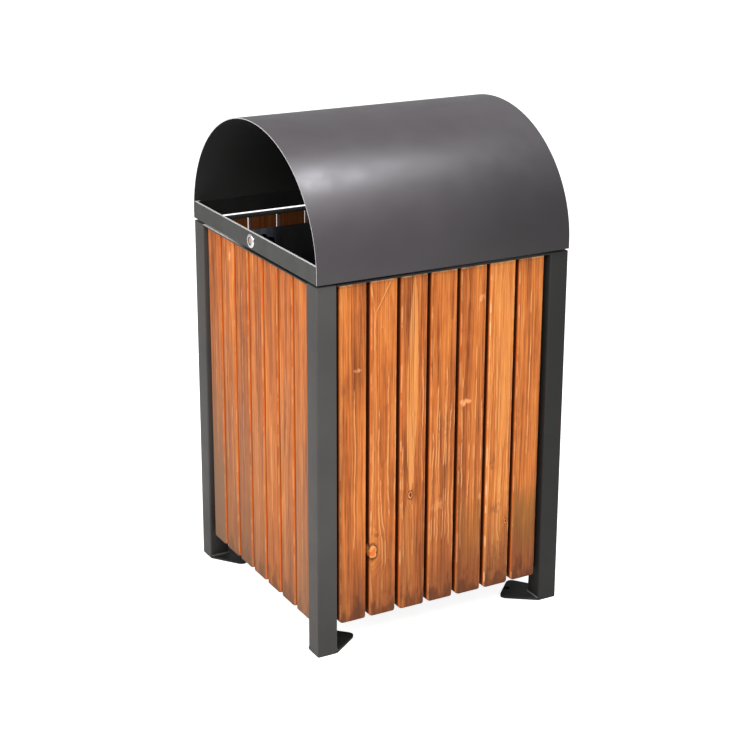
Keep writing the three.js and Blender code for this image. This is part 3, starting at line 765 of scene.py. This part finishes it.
def quarter(x, y, turns):
    for _ in range(turns % 4):
        x, y = -y, x
    return x, y


def loft(bm, rings, cap_start=True, cap_end=True):
    """Skins closed rings of equal length; returns the rings' vertices."""
    rows = [[bm.verts.new(point) for point in ring] for ring in rings]
    count = len(rows[0])
    for row, following in zip(rows, rows[1:]):
        for i in range(count):
            j = (i + 1) % count
            bm.faces.new((row[i], row[j], following[j], following[i]))
    if cap_start:
        bm.faces.new(list(reversed(rows[0])))
    if cap_end:
        bm.faces.new(rows[-1])
    return rows


def plate(bm, outline, holes, low, high):
    """A flat plate with holes in plan, between two heights."""
    edges = []
    for loop in (outline, *holes):
        ring = [bm.verts.new((x, y, low)) for x, y in loop]
        for i, vertex in enumerate(ring):
            edges.append(bm.edges.new((vertex, ring[(i + 1) % len(ring)])))
    faces = bmesh.ops.triangle_fill(bm, use_beauty=True, use_dissolve=False, edges=edges)["geom"]
    faces = [item for item in faces if isinstance(item, bmesh.types.BMFace)]
    lifted = bmesh.ops.extrude_face_region(bm, geom=faces, use_keep_orig=True)["geom"]
    raised = [item for item in lifted if isinstance(item, bmesh.types.BMVert)]
    bmesh.ops.translate(bm, verts=raised, vec=(0, 0, high - low))


POINT = 1e-5  # a radius small enough to look like none


def circles(profile, segments, matrix):
    """A ring about Z for each radius and height of a profile."""
    rings = []
    for radius, height in profile:
        ring = []
        for i in range(segments):
            angle = 2 * math.pi * i / segments
            ring.append(matrix @ Vector((radius * math.cos(angle), radius * math.sin(angle), height)))
        rings.append(ring)
    return rings


def turned(bm, profile, segments, matrix):
    """Turns a profile whose ends have hardly any radius: a solid without a bore."""
    loft(bm, circles(profile, segments, matrix))


def turned_tube(bm, profile, segments, matrix):
    """Turns a profile that runs on from its last point to its first: a solid with a bore."""
    rows = loft(bm, circles(profile, segments, matrix), False, False)
    for i in range(segments):
        j = (i + 1) % segments
        bm.faces.new((rows[-1][i], rows[-1][j], rows[0][j], rows[0][i]))


def turn_quarters(bm, turns):
    bmesh.ops.rotate(bm, verts=bm.verts, matrix=Matrix.Rotation(math.pi / 2 * turns, 3, "Z"))


def arc(middle, radius, start, end, steps):
    """Points on an arc, its angles in degrees."""
    points = []
    for i in range(steps + 1):
        angle = math.radians(start + (end - start) * i / steps)
        points.append((middle[0] + radius * math.cos(angle), middle[1] + radius * math.sin(angle)))
    return points


def rounded_square(half, radius, steps, centre=(0.0, 0.0)):
    inner = half - radius
    corners = ((inner, -inner), (inner, inner), (-inner, inner), (-inner, -inner))
    points = []
    for turns, (x, y) in enumerate(corners):
        start = 90 * turns - 90
        points += arc((centre[0] + x, centre[1] + y), radius, start, start + 90, steps)
    return points


def at_height(points, height):
    return [(x, y, height) for x, y in points]


def piece_from(bm, name, body, materials, replaces=(), sharp=35):
    """Makes a bmesh into a shown piece that rides on a body."""
    bmesh.ops.recalc_face_normals(bm, faces=bm.faces)
    mesh = bpy.data.meshes.new(name)
    bm.to_mesh(mesh)
    bm.free()
    for material in materials:
        mesh.materials.append(material)
    mesh.shade_smooth()
    mesh.set_sharp_from_angle(angle=math.radians(sharp))
    piece = bpy.data.objects.new(name, mesh)
    scene.collection.objects.link(piece)
    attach(piece, body)
    if replaces:
        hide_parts(*replaces)
    return piece


def soften(piece, width, segments=3, angle=40):
    """Rounds a piece's hard edges. Welding first joins faces that only meet."""
    weld = piece.modifiers.new("weld", "WELD")
    weld.merge_threshold = 0.00001
    bevel = piece.modifiers.new("soften", "BEVEL")
    bevel.width = width
    bevel.segments = segments
    bevel.limit_method = "ANGLE"
    bevel.angle_limit = math.radians(angle)
    bevel.harden_normals = False


def finish_node(name, material, width):
    """Keeps a CAD node, with its own finish and softened edges."""
    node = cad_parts[name]
    node.data.materials.clear()
    node.data.materials.append(material)
    soften(node, width, 2)


# ---------------------------------------------------------------- posts, bars, tray and feet

POST_CORNER = 3.0 * MM
POST_WALL = 2.0 * MM


def make_post(corner, paint):
    name = "post_" + corner
    low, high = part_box(name)
    centre = ((low.x + high.x) / 2, (low.y + high.y) / 2)
    half = (high.x - low.x) / 2
    edge = 0.8 * MM
    bm = bmesh.new()
    inner = rounded_square(half - POST_WALL, POST_CORNER - POST_WALL, 8, centre)
    outer = rounded_square(half, POST_CORNER, 8, centre)
    inset = rounded_square(half - edge, POST_CORNER - edge, 8, centre)
    nearly = rounded_square(half - edge * 0.3, POST_CORNER - edge * 0.3, 8, centre)
    loft(bm, [
        at_height(inner, high.z - POST_WALL),
        at_height(inner, low.z),
        at_height(outer, low.z),
        at_height(outer, high.z - edge),
        at_height(nearly, high.z - edge * 0.3),
        at_height(inset, high.z),
    ])
    piece_from(bm, "tube_" + name, "frame", [paint], [name])


FOOT_ACROSS = 206.0 * MM
FOOT_REACH = 152.0 * MM
FOOT_ROUND = 16.0 * MM


def rounded_corner(before, corner, after, reach, steps=10):
    """Points of a smooth bend that takes up the same length of both its sides."""
    start = corner + (before - corner).normalized() * reach
    end = corner + (after - corner).normalized() * reach
    points = []
    for i in range(steps + 1):
        share = i / steps
        bend = start.lerp(corner, share).lerp(corner.lerp(end, share), share)
        points.append(tuple(bend))
    return points


def foot_outline(outer, inner, across, reach):
    corners = [Vector(point) for point in
               ((outer, -inner), (across, -reach), (reach, -across), (inner, -outer), (inner, -inner))]
    points = [tuple(corners[0])]
    for tip in (1, 2):
        points += rounded_corner(corners[tip - 1], corners[tip], corners[tip + 1], FOOT_ROUND)
    return points + [tuple(corners[3]), tuple(corners[4])]


def make_foot(index, corner, paint):
    name = "foot_" + corner
    node_low, node_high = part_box("foot_front_right")
    post_low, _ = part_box("post_front_right")
    outline = foot_outline(node_high.x, post_low.x, FOOT_ACROSS, FOOT_REACH)
    hole = arc(ANCHOR_PLACE, ANCHOR_RADIUS, 0, 348.75, 31)
    bm = bmesh.new()
    plate(bm, outline, [hole], node_low.z, node_high.z)
    turn_quarters(bm, index)
    foot = piece_from(bm, "plate_" + name, "frame", [paint], [name])
    soften(foot, 0.6 * MM)


def make_foot_weld(index, corner, paint):
    """A rippled bead where the foot meets its post."""
    post_low, post_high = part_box("post_front_right")
    _, foot_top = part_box("foot_front_right")
    inner = post_low.x
    outer = post_high.x
    route = []
    steps = 26
    length = outer - inner - 2.5 * MM
    for i in range(steps + 1):
        route.append(Vector((outer - 2.5 * MM - length * i / steps, -inner, foot_top.z)))
    for i in range(1, steps + 1):
        route.append(Vector((inner, -inner - length * i / steps, foot_top.z)))
    bm = bmesh.new()
    rings = []
    for i, point in enumerate(route):
        ripple = 1.0 + 0.16 * math.sin(i * 2.1) + 0.1 * noise.noise(point * 300)
        radius = 2.2 * MM * ripple * (0.35 if i in (0, len(route) - 1) else 1.0)
        along_x = i <= steps
        ring = []
        for k in range(8):
            angle = 2 * math.pi * k / 8
            offset = radius * math.cos(angle)
            rise = radius * math.sin(angle)
            if along_x:
                ring.append((point.x, point.y + offset, point.z + rise))
            else:
                ring.append((point.x - offset, point.y, point.z + rise))
        rings.append(ring)
    loft(bm, rings)
    turn_quarters(bm, index)
    piece_from(bm, "weld_foot_" + corner, "frame", [paint], sharp=60)


# ---------------------------------------------------------------- slats

ARRIS = 4.0 * MM  # rounding of a slat's front edges
SLAT_LEVELS = 56
FRONT_STEPS = 10


def slat_outline(half, depth, face, arris):
    """One level of a slat as across and depth, anticlockwise from its back right corner."""
    points = [(across, depth) for across in (half, half * 0.4, -half * 0.4, -half)]
    points.append((-half, depth * 0.6))
    points += arc((-half + arris, face + arris), arris, 180, 270, 5)
    for i in range(1, FRONT_STEPS):
        points.append((-half + arris + (2 * half - 2 * arris) * i / FRONT_STEPS, face))
    points += arc((half - arris, face + arris), arris, 270, 360, 5)
    points.append((half, depth * 0.6))
    return points


def end_inset(distance, radius):
    """How far a rounded end stands in, at a distance from the end."""
    if distance >= radius:
        return 0.0
    return radius - math.sqrt(radius * radius - (radius - distance) ** 2)


def slat_heights(low, high):
    """Close together at the rounded ends, and even between them."""
    near = [0.0, 0.25, 0.8, 1.7, 3.0, 4.8, 7.0, 10.0]
    heights = [low + step * MM for step in near]
    start, stop = heights[-1], high - near[-1] * MM
    for i in range(1, SLAT_LEVELS):
        heights.append(start + (stop - start) * i / SLAT_LEVELS)
    return heights + [high - step * MM for step in reversed(near)]


def make_slat(side, turns, number, offset):
    name = f"slat_{side}_{number}"
    board = board_of(name, 7 * turns + number)
    chance = random.Random(name + "_shape")
    low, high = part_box(f"slat_front_{number}")
    middle = (low.x + high.x) / 2
    half = (high.x - low.x) / 2
    face, thick = low.y, high.y - low.y
    bottom = low.z + chance.uniform(0.0, 1.5) * MM
    corners = {-1: chance.uniform(3.0, 6.0) * MM, 1: chance.uniform(3.0, 6.0) * MM}
    bm = bmesh.new()
    layer = bm.verts.layers.float_vector.new("board")
    rings, places = [], []
    for z in slat_heights(bottom, high.z):
        in_face = end_inset(z - bottom, 1.6 * MM) + end_inset(high.z - z, 0.8 * MM)
        ring, spots = [], []
        for across, depth in slat_outline(half, thick, in_face, ARRIS):
            side_of = -1 if across < 0 else 1
            narrowing = end_inset(z - bottom, corners[side_of]) + end_inset(high.z - z, 1.0 * MM)
            across *= (half - narrowing) / half
            rough = noise.noise(Vector((offset * 90 + side_of * 7, turns * 5.0, z * 14)))
            if abs(across) > half - ARRIS:
                across -= side_of * (0.22 + 0.22 * rough) * MM
            if depth < ARRIS:
                dip = noise.noise(Vector((across * 60, offset * 80 + turns, z * 5)))
                depth += (0.12 + 0.12 * dip) * MM
            x, y = quarter(middle + across, face + depth, turns)
            ring.append((x, y, z))
            spots.append((across / MM, depth / MM, z / MM))
        rings.append(ring)
        places.append(spots)
    for row, spots in zip(loft(bm, rings), places):
        for vertex, spot in zip(row, spots):
            vertex[layer] = spot
    stained = wood("wood_" + name, board, bottom / MM, high.z / MM)
    piece_from(bm, "board_" + name, "frame", [stained], [name], sharp=50)


def make_slats():
    for turns, side in enumerate(SIDES):
        for number in range(1, 8):
            low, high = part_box(f"slat_front_{number}")
            make_slat(side, turns, number, (low.x + high.x) / 2)


# ---------------------------------------------------------------- fasteners

def cross_recess(arm, half_width):
    return [
        (arm, -half_width), (arm, half_width), (half_width, half_width), (half_width, arm),
        (-half_width, arm), (-half_width, half_width), (-arm, half_width), (-arm, -half_width),
        (-half_width, -half_width), (-half_width, -arm), (half_width, -arm), (half_width, -half_width),
    ]


def add_screw(bm, radius, height, matrix, turn):
    """A domed head with a cross recess, standing on the plane z = 0 of its matrix."""
    head = bmesh.new()
    rim = arc((0, 0), radius, 0, 360 - 18, 19)
    recess = cross_recess(radius * 0.55, radius * 0.13)
    plate(head, rim, [recess], height * 0.45, height * 0.75)
    plate(head, rim, [], 0.0, height * 0.45)
    bmesh.ops.remove_doubles(head, verts=head.verts, dist=1e-6)
    for vertex in head.verts:
        if vertex.co.z > height * 0.6:
            share = vertex.co.xy.length / radius
            vertex.co.z += height * 0.25 * (1 - share * share)
    bmesh.ops.rotate(head, verts=head.verts, matrix=Matrix.Rotation(turn, 3, "Z"))
    bmesh.ops.transform(head, verts=head.verts, matrix=matrix)
    made = bpy.data.meshes.new("screw")
    head.to_mesh(made)
    head.free()
    bm.from_mesh(made)
    bpy.data.meshes.remove(made)


def facing(point, direction):
    """A matrix that stands z along a direction at a point."""
    turn = Vector((0, 0, 1)).rotation_difference(Vector(direction)).to_matrix().to_4x4()
    return Matrix.Translation(point) @ turn


SCREW_OFFSET = 13 * MM  # from a slat's middle, and from the top of the tray


def make_slat_screws(side, turns, level, height, inner_face, steel):
    chance = random.Random(side + level)
    bm = bmesh.new()
    for number in range(1, 8):
        low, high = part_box(f"slat_front_{number}")
        middle = (low.x + high.x) / 2
        for across in (-SCREW_OFFSET, SCREW_OFFSET):
            x, y = quarter(middle + across, inner_face, turns)
            inwards = quarter(0, 1, turns)
            matrix = facing((x, y, height), (*inwards, 0))
            add_screw(bm, 3.4 * MM, 1.8 * MM, matrix, chance.uniform(0, math.pi))
    piece_from(bm, f"{level}_screws_{side}", "frame", [steel], sharp=30)


def make_all_slat_screws(steel):
    rail_low, rail_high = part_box("upper_slat_rail_front")
    upper = (rail_low.z + rail_high.z) / 2
    tray_low, tray_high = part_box("base_tray")
    flange_face = tray_low.y + 2 * MM
    for turns, side in enumerate(SIDES):
        make_slat_screws(side, turns, "upper", upper, rail_high.y, steel)
        make_slat_screws(side, turns, "lower", tray_high.z - SCREW_OFFSET, flange_face, steel)


# ---------------------------------------------------------------- liner and its handle

def make_liner(plastic):
    low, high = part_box("liner")
    bottom, top = low.z, high.z
    lip_half = high.x
    top_half = 200 * MM
    foot_half = 186 * MM
    wall = 3 * MM
    bend = 6 * MM  # where the walls meet the floor
    corner = 40 * MM
    lip_low = top - 7 * MM

    def half_at(z):
        share = (z - bottom) / (top - bottom)
        return foot_half + (top_half - foot_half) * share

    def ring(half, z, radius=corner):
        return at_height(rounded_square(half, radius, 10), z)

    shoulder = top - 34 * MM
    rings = [ring(foot_half - bend, bottom, corner - bend)]
    for angle in (30, 60, 90):
        rise = bend * (1 - math.cos(math.radians(angle)))
        run = bend * (1 - math.sin(math.radians(angle)))
        rings.append(ring(half_at(bottom) - run, bottom + rise, corner - run))
    for share in (0.25, 0.5, 0.75, 0.995):
        z = bottom + bend + (shoulder - bottom - bend) * share
        rings.append(ring(half_at(z) - 0.8 * MM * (share > 0.9), z))
    rings.append(ring(half_at(shoulder) - 0.3 * MM, shoulder + 1.5 * MM))
    rings.append(ring(half_at(lip_low) - 0.2 * MM, lip_low))
    for angle in range(-90, 121, 30):
        reach = 3.2 * MM * math.cos(math.radians(angle))
        rise = 3.5 * MM * math.sin(math.radians(angle))
        rings.append(ring(lip_half - 3.2 * MM + reach, top - 3.5 * MM + rise, 43 * MM))
    inner_top = top_half - wall
    rings.append(ring(inner_top + 1.2 * MM, top - 0.2 * MM, 38 * MM))
    rings.append(ring(inner_top, top - 1.6 * MM, 37 * MM))
    for share in (0.2, 0.45, 0.7, 0.9, 0.985):
        z = top - (top - bottom) * share
        rings.append(ring(half_at(z) - wall, z, 37 * MM))
    floor = bottom + wall
    for angle in (60, 30, 0):
        run = bend * (1 - math.sin(math.radians(angle)))
        rise = bend * (1 - math.cos(math.radians(angle)))
        rings.append(ring(foot_half - wall - run - 0.3 * MM, floor + rise, 36 * MM - run))
    bm = bmesh.new()
    loft(bm, rings)
    bail_low, bail_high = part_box("liner_bail")
    pivot = (bail_low.z + bail_high.z) / 2
    boss, bore, reach = 8 * MM, 3.3 * MM, 6 * MM
    profile = [(POINT, 0.0), (boss, 0.0), (boss, reach - 0.8 * MM), (7.4 * MM, reach), (bore, reach)]
    profile += [(bore, reach - 4 * MM), (POINT, reach - 4 * MM)]
    for sign in (-1, 1):
        turned(bm, profile, 32, facing((0, sign * 197.5 * MM, pivot), (0, sign, 0)))
    piece_from(bm, "moulded_liner", "liner", [plastic], ["liner"], sharp=50)


def sweep(bm, route, radius, segments=14):
    """A round wire along a level route."""
    rings = []
    for i, point in enumerate(route):
        before, after = route[max(i - 1, 0)], route[min(i + 1, len(route) - 1)]
        along = (after - before).normalized()
        sideways = along.cross(Vector((0, 0, 1))).normalized()
        ring = []
        for k in range(segments):
            angle = 2 * math.pi * k / segments
            offset = sideways * math.cos(angle) + Vector((0, 0, 1)) * math.sin(angle)
            ring.append(point + offset * radius)
        rings.append(ring)
    loft(bm, rings)


def make_bail(steel):
    low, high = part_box("liner_bail")
    radius = 3 * MM
    reach = high.y - radius
    height = (low.z + high.z) / 2
    corner = 40 * MM
    elbow = 5 * MM
    end = 199.8 * MM
    half = [Vector((0, -end, height)), Vector((0, -reach + elbow, height))]
    for x, y in arc((-elbow, -reach + elbow), elbow, 0, -90, 6)[1:]:
        half.append(Vector((x, y, height)))
    for i in range(1, 8):
        half.append(Vector((-elbow - (reach - corner - elbow) * i / 8, -reach, height)))
    for x, y in arc((-reach + corner, -reach + corner), corner, 270, 180, 14):
        half.append(Vector((x, y, height)))
    half.append(Vector((-reach, -(reach - corner) / 2, height)))
    route = half + [Vector((-reach, 0, height))]
    route += [Vector((point.x, -point.y, point.z)) for point in reversed(half)]
    bm = bmesh.new()
    sweep(bm, route, radius)
    piece_from(bm, "bail_wire", "liner_bail", [steel], ["liner_bail"], sharp=60)


# ---------------------------------------------------------------- lid

ROOF_STEPS = 96


def make_roof(outside, inside, cut):
    low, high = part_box("roof")
    half, front, rear = high.x, low.y, high.y
    sheet = 1.5 * MM
    springing = low.z + 14 * MM
    rise = high.z - springing

    def section(inset):
        points = [(half - inset, low.z), (half - inset, (low.z + springing) / 2)]
        for i in range(ROOF_STEPS + 1):
            angle = math.pi * i / ROOF_STEPS
            points.append(((half - inset) * math.cos(angle), springing + (rise - inset) * math.sin(angle)))
        points += [(-half + inset, (low.z + springing) / 2), (-half + inset, low.z)]
        return points

    bm = bmesh.new()
    rows = {}
    places = [front + (rear - front) * i / 12 for i in range(13)]
    for surface, inset in (("outer", 0.0), ("inner", sheet)):
        rows[surface] = [[bm.verts.new((x, y, z)) for x, z in section(inset)] for y in places]
    for index, surface in enumerate(("outer", "inner")):
        for row, following in zip(rows[surface], rows[surface][1:]):
            for i in range(len(row) - 1):
                face = bm.faces.new((row[i], row[i + 1], following[i + 1], following[i]))
                face.material_index = index
    for end in (0, -1):
        outer, inner = rows["outer"][end], rows["inner"][end]
        for i in range(len(outer) - 1):
            bm.faces.new((outer[i], outer[i + 1], inner[i + 1], inner[i])).material_index = 2
    for edge in (0, -1):
        for k in range(len(places) - 1):
            quad = [rows[surface][at][edge] for surface, at in
                    (("outer", k), ("outer", k + 1), ("inner", k + 1), ("inner", k))]
            bm.faces.new(quad).material_index = 2
    roof = piece_from(bm, "vault_sheet", "lid", [outside, inside, cut], ["roof"], sharp=50)
    soften(roof, 0.35 * MM, 2, 60)


def make_lock(chrome, steel):
    low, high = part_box("lock_housing")
    middle = (low.z + high.z) / 2
    flange = (high.x - low.x) / 2
    barrel = 9.5 * MM
    bore = 6.3 * MM
    length = high.y - low.y
    thick = 3 * MM
    pitch = 0.8 * MM
    profile = [(bore, length), (bore, 0.5 * MM), (bore + 0.5 * MM, 0.0), (flange - 2.6 * MM, 0.0)]
    profile += [(flange - 1.5 * MM, 0.35 * MM), (flange - 0.6 * MM, 0.9 * MM)]
    profile += [(flange - 0.1 * MM, 1.7 * MM), (flange, 2.2 * MM), (flange, thick), (barrel, thick)]
    for k in range(18):
        at = thick + 6 * MM + k * pitch
        if at + pitch < length:
            profile += [(barrel, at), (barrel - 0.45 * MM, at + pitch / 2)]
    profile += [(barrel, length - 0.5 * MM), (barrel - 0.5 * MM, length)]
    bm = bmesh.new()
    turned_tube(bm, profile, 64, facing((0, low.y, middle), (0, 1, 0)))
    piece_from(bm, "lock_barrel", "lid", [chrome], ["lock_housing"], sharp=30)

    nut_low, nut_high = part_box("lock_nut")
    hexagon = arc((0, 0), (nut_high.z - nut_low.z) / 2, 0, 300, 5)
    bm = bmesh.new()
    plate(bm, hexagon, [arc((0, 0), barrel + 0.3 * MM, 0, 350, 35)], 0.0, nut_high.y - nut_low.y)
    bmesh.ops.transform(bm, verts=bm.verts, matrix=facing((0, nut_low.y, middle), (0, 1, 0)))
    nut = piece_from(bm, "hex_nut", "lid", [steel], ["lock_nut"], sharp=30)
    soften(nut, 0.5 * MM, 2)


def make_lock_plug(nickel):
    low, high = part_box("lock_cam")
    housing_low, housing_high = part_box("lock_housing")
    middle = (housing_low.z + housing_high.z) / 2
    wide, tall = 0.6 * MM, 3.5 * MM
    slot = [(-wide, -tall), (wide, -tall), (wide, tall), (-wide, tall)]
    slot_depth = 5 * MM
    bm = bmesh.new()
    rim = arc((0, 0), 6 * MM, 0, 352.5, 47)
    plate(bm, rim, [slot], 0.0, slot_depth)
    plate(bm, rim, [], slot_depth, high.y - low.y)
    bmesh.ops.remove_doubles(bm, verts=bm.verts, dist=1e-6)
    thick = 2.5 * MM
    back = high.y - low.y
    hub = arc((0, 0), 9 * MM, 0, 350, 35)
    plate(bm, hub, [], back - thick, back)
    arm_angle = math.radians(10)
    along = Vector((math.cos(arm_angle), math.sin(arm_angle)))
    sideways = Vector((-along.y, along.x)) * 5 * MM
    tip = along * 34.5 * MM
    arm = [sideways, -sideways, tip - sideways, tip + sideways]
    plate(bm, [(point.x, point.y) for point in arm], [], back - thick + 0.02 * MM, back - 0.02 * MM)
    hook = arc((0, 0), 35.5 * MM, -40, 10, 20) + arc((0, 0), 29.5 * MM, 10, -40, 20)
    plate(bm, hook, [], back - thick + 0.01 * MM, back - 0.01 * MM)
    # the plate lies in x and y; turned so that its y is height and its z runs into the bin
    upright = Matrix(((1, 0, 0, 0), (0, 0, 1, low.y), (0, 1, 0, middle), (0, 0, 0, 1)))
    bmesh.ops.transform(bm, verts=bm.verts, matrix=upright)
    plug = piece_from(bm, "plug_and_cam", "lock_cam", [nickel], ["lock_cam"], sharp=30)
    soften(plug, 0.25 * MM, 2, 60)


def make_hinge(side, steel, zinc):
    leaf_low, leaf_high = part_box("hinge_body_leaf_" + side)
    lid_low, lid_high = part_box("hinge_lid_leaf_" + side)
    pin_low, pin_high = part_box("hinge_pin_" + side)
    axis_y = (pin_low.y + pin_high.y) / 2
    axis_z = (pin_low.z + pin_high.z) / 2
    middle = (leaf_low.x + leaf_high.x) / 2
    half = (leaf_high.x - leaf_low.x) / 2
    knuckle = 4 * MM
    bore = 2.3 * MM
    inner = 11 * MM
    gap = 0.5 * MM
    thick = 2 * MM

    def add_block(bm, first, second):
        (left, near, low), (right, far, high) = first, second
        corners = [(left, near), (right, near), (right, far), (left, far)]
        loft(bm, [at_height(corners, low), at_height(corners, high)])

    def add_knuckle(bm, start, end):
        length, edge = end - start, 0.4 * MM
        profile = [(bore, 0.0), (knuckle - edge, 0.0), (knuckle, edge)]
        profile += [(knuckle, length - edge), (knuckle - edge, length), (bore, length)]
        turned_tube(bm, profile, 40, facing((start, axis_y, axis_z), (1, 0, 0)))

    bm = bmesh.new()
    back = axis_y - 3 * MM
    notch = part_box("roof")[1].y - 1 * MM
    add_block(bm, (leaf_low.x, leaf_low.y, leaf_low.z), (leaf_high.x, notch, leaf_low.z + thick))
    for sign in (-1, 1):
        ends = sorted((middle + sign * (inner + gap), middle + sign * half))
        add_block(bm, (ends[0], notch, leaf_low.z), (ends[1], back, leaf_low.z + thick))
        add_knuckle(bm, ends[0], ends[1])
    name = "hinge_body_leaf_" + side
    leaf = piece_from(bm, "leaf_body_" + side, "frame", [steel], [name], sharp=30)
    soften(leaf, 0.35 * MM, 2, 50)

    bm = bmesh.new()
    lowest = axis_z + knuckle + 1 * MM
    add_block(bm, (middle - half, lid_low.y, lowest), (middle + half, lid_low.y + thick, lid_high.z))
    add_block(bm, (middle - inner, lid_low.y, axis_z + 1 * MM), (middle + inner, lid_low.y + thick, lowest))
    add_knuckle(bm, middle - inner, middle + inner)
    name = "hinge_lid_leaf_" + side
    leaf = piece_from(bm, "leaf_lid_" + side, "lid", [steel], [name], sharp=30)
    soften(leaf, 0.35 * MM, 2, 50)

    bm = bmesh.new()
    radius = (pin_high.z - pin_low.z) / 2
    length = pin_high.x - pin_low.x
    profile = [(POINT, 0.0), (radius * 0.7, 0.0), (radius, 0.5 * MM)]
    profile += [(radius, length - 0.5 * MM), (radius * 0.7, length), (POINT, length)]
    turned(bm, profile, 24, facing((pin_low.x, axis_y, axis_z), (1, 0, 0)))
    piece_from(bm, "pin_" + side, "frame", [zinc], ["hinge_pin_" + side], sharp=30)

    bm = bmesh.new()
    for across in (-20 * MM, 0.0, 20 * MM):
        matrix = facing((middle + across, lid_low.y + thick, (lowest + lid_high.z) / 2 + 1 * MM), (0, 1, 0))
        add_screw(bm, 3.2 * MM, 1.5 * MM, matrix, across * 60)
    piece_from(bm, "lid_screws_" + side, "lid", [zinc], sharp=30)


def make_buffer(side, material):
    low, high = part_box("buffer_" + side)
    middle = (low + high) / 2
    radius = (high.x - low.x) / 2
    height = high.z - low.z
    profile = [(POINT, 0.0), (radius, 0.0), (radius, height * 0.6)]
    for angle in (30, 60, 90):
        run = 0.4 * height * (1 - math.cos(math.radians(angle)))
        rise = 0.4 * height * math.sin(math.radians(angle))
        profile.append((radius - run, height * 0.6 + rise))
    profile.append((POINT, height))
    bm = bmesh.new()
    turned(bm, profile, 40, Matrix.Translation((middle.x, middle.y, low.z)))
    piece_from(bm, "pad_" + side, "frame", [material], ["buffer_" + side], sharp=40)


FLOOR_HALF = 60.0
FLOOR_DROP = 0.5 * MM  # so the floor and the feet's undersides don't coincide


def make_floor():
    bm = bmesh.new()
    bmesh.ops.create_grid(bm, x_segments=8, y_segments=8, size=FLOOR_HALF)
    mesh = bpy.data.meshes.new("floor")
    bm.to_mesh(mesh)
    bm.free()
    mesh.materials.append(studio_floor("pale_floor"))
    floor = bpy.data.objects.new("floor", mesh)
    floor.location.z = -FLOOR_DROP
    scene.collection.objects.link(floor)


make_camera()
make_lights()
make_floor()

# the posts' paint, with painted shade near the ground
frame_paint = powder_coat("frame_powder_coat", linear(61, 59, 57), linear(74, 72, 70), 0.5, ground=0.4)
# a darker copy of the frame paint for the rear right post: painted shade
shaded_paint = powder_coat("shaded_rear_powder_coat", linear(35, 35, 34), linear(43, 43, 42), 0.6, 0.3)
# a darker copy of the frame paint for the feet, rails, tray and side top bars: painted shade where they lie
# low, inside or under the lid
shaded_rail_paint = powder_coat("shaded_inner_powder_coat", linear(34, 35, 35), linear(46, 47, 46), 0.6, 0.3)
# a lighter copy of the frame paint for the weld beads: a painted highlight
weld_highlight_paint = powder_coat("weld_highlight_powder_coat", linear(84, 85, 84), linear(120, 121, 120), 0.45)
# the rim: painted shade on its inner faces under the vault, and a painted highlight along its upper front
# edge
rim_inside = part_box("lid_rim")[1].x - RIM_SHADE_DEPTH
rim_coat = rim_paint("rim_powder_coat", linear(50, 51, 50), linear(62, 63, 61), ALL_THE_WAY, rim_inside)
# the front top bar: darker than the rim as painted shade under it, with a painted highlight on its upper
# edge as far right as BAR_PALE_UNTIL
bar_coat = rim_paint("bar_powder_coat", linear(38, 39, 39), linear(48, 49, 48), BAR_PALE_UNTIL, 0.0)
# the vault's paint, with painted shade low at the back
vault_paint = powder_coat("vault_paint", linear(66, 62, 65), linear(76, 72, 75), 0.40, 0.5, 0.2, rear=0.55)
# a darker copy of the vault paint for its underside: painted shade
vault_inside_shaded = powder_coat("vault_inside_shaded", linear(42, 42, 42), linear(50, 50, 50), 0.85, 0.1)
# pale grey on the sheet's cut edges: a painted highlight where they catch the light
cut_edge_highlight = powder_coat("cut_edge", linear(190, 190, 190), linear(220, 220, 220), 0.5)
hinge_steel = brushed_steel("ground_steel", linear(120, 121, 122), linear(172, 172, 170), 0.38)
zinc = brushed_steel("zinc_plate", linear(150, 152, 156), linear(196, 197, 196), 0.3)
chrome = lock_metal("chrome_plate", linear(228, 228, 230), linear(248, 248, 249), 0.16)
nickel = lock_metal("nickel_plate", linear(226, 178, 172), linear(244, 208, 200), 0.32)
# black for the lock's nut inside the lid: painted shade
shade_black_steel = brushed_steel("shade_black_steel", linear(34, 34, 35), linear(52, 52, 54), 0.5)
black_plastic = moulded_plastic("liner_plastic")
black_rubber = rubber("buffer_rubber")

# the rear right post takes the darker copy of the frame paint, as painted shade
for turn, corner_name in enumerate(CORNERS):
    make_post(corner_name, shaded_paint if corner_name == "rear_right" else frame_paint)
    make_foot(turn, corner_name, shaded_rail_paint)
    make_foot_weld(turn, corner_name, weld_highlight_paint)
for side_name in SIDES:
    bar_paint = bar_coat if side_name == "front" else shaded_rail_paint
    finish_node("top_bar_" + side_name, bar_paint, 0.4 * MM)
    finish_node("upper_slat_rail_" + side_name, shaded_rail_paint, 0.5 * MM)
finish_node("base_tray", shaded_rail_paint, 0.4 * MM)
finish_node("lid_rim", rim_coat, 0.9 * MM)
make_slats()
make_all_slat_screws(zinc)
make_liner(black_plastic)
make_bail(zinc)
make_roof(vault_paint, vault_inside_shaded, cut_edge_highlight)
make_lock(chrome, shade_black_steel)
make_lock_plug(nickel)
for side_name in ("left", "right"):
    make_hinge(side_name, hinge_steel, zinc)
    make_buffer(side_name, black_rubber)
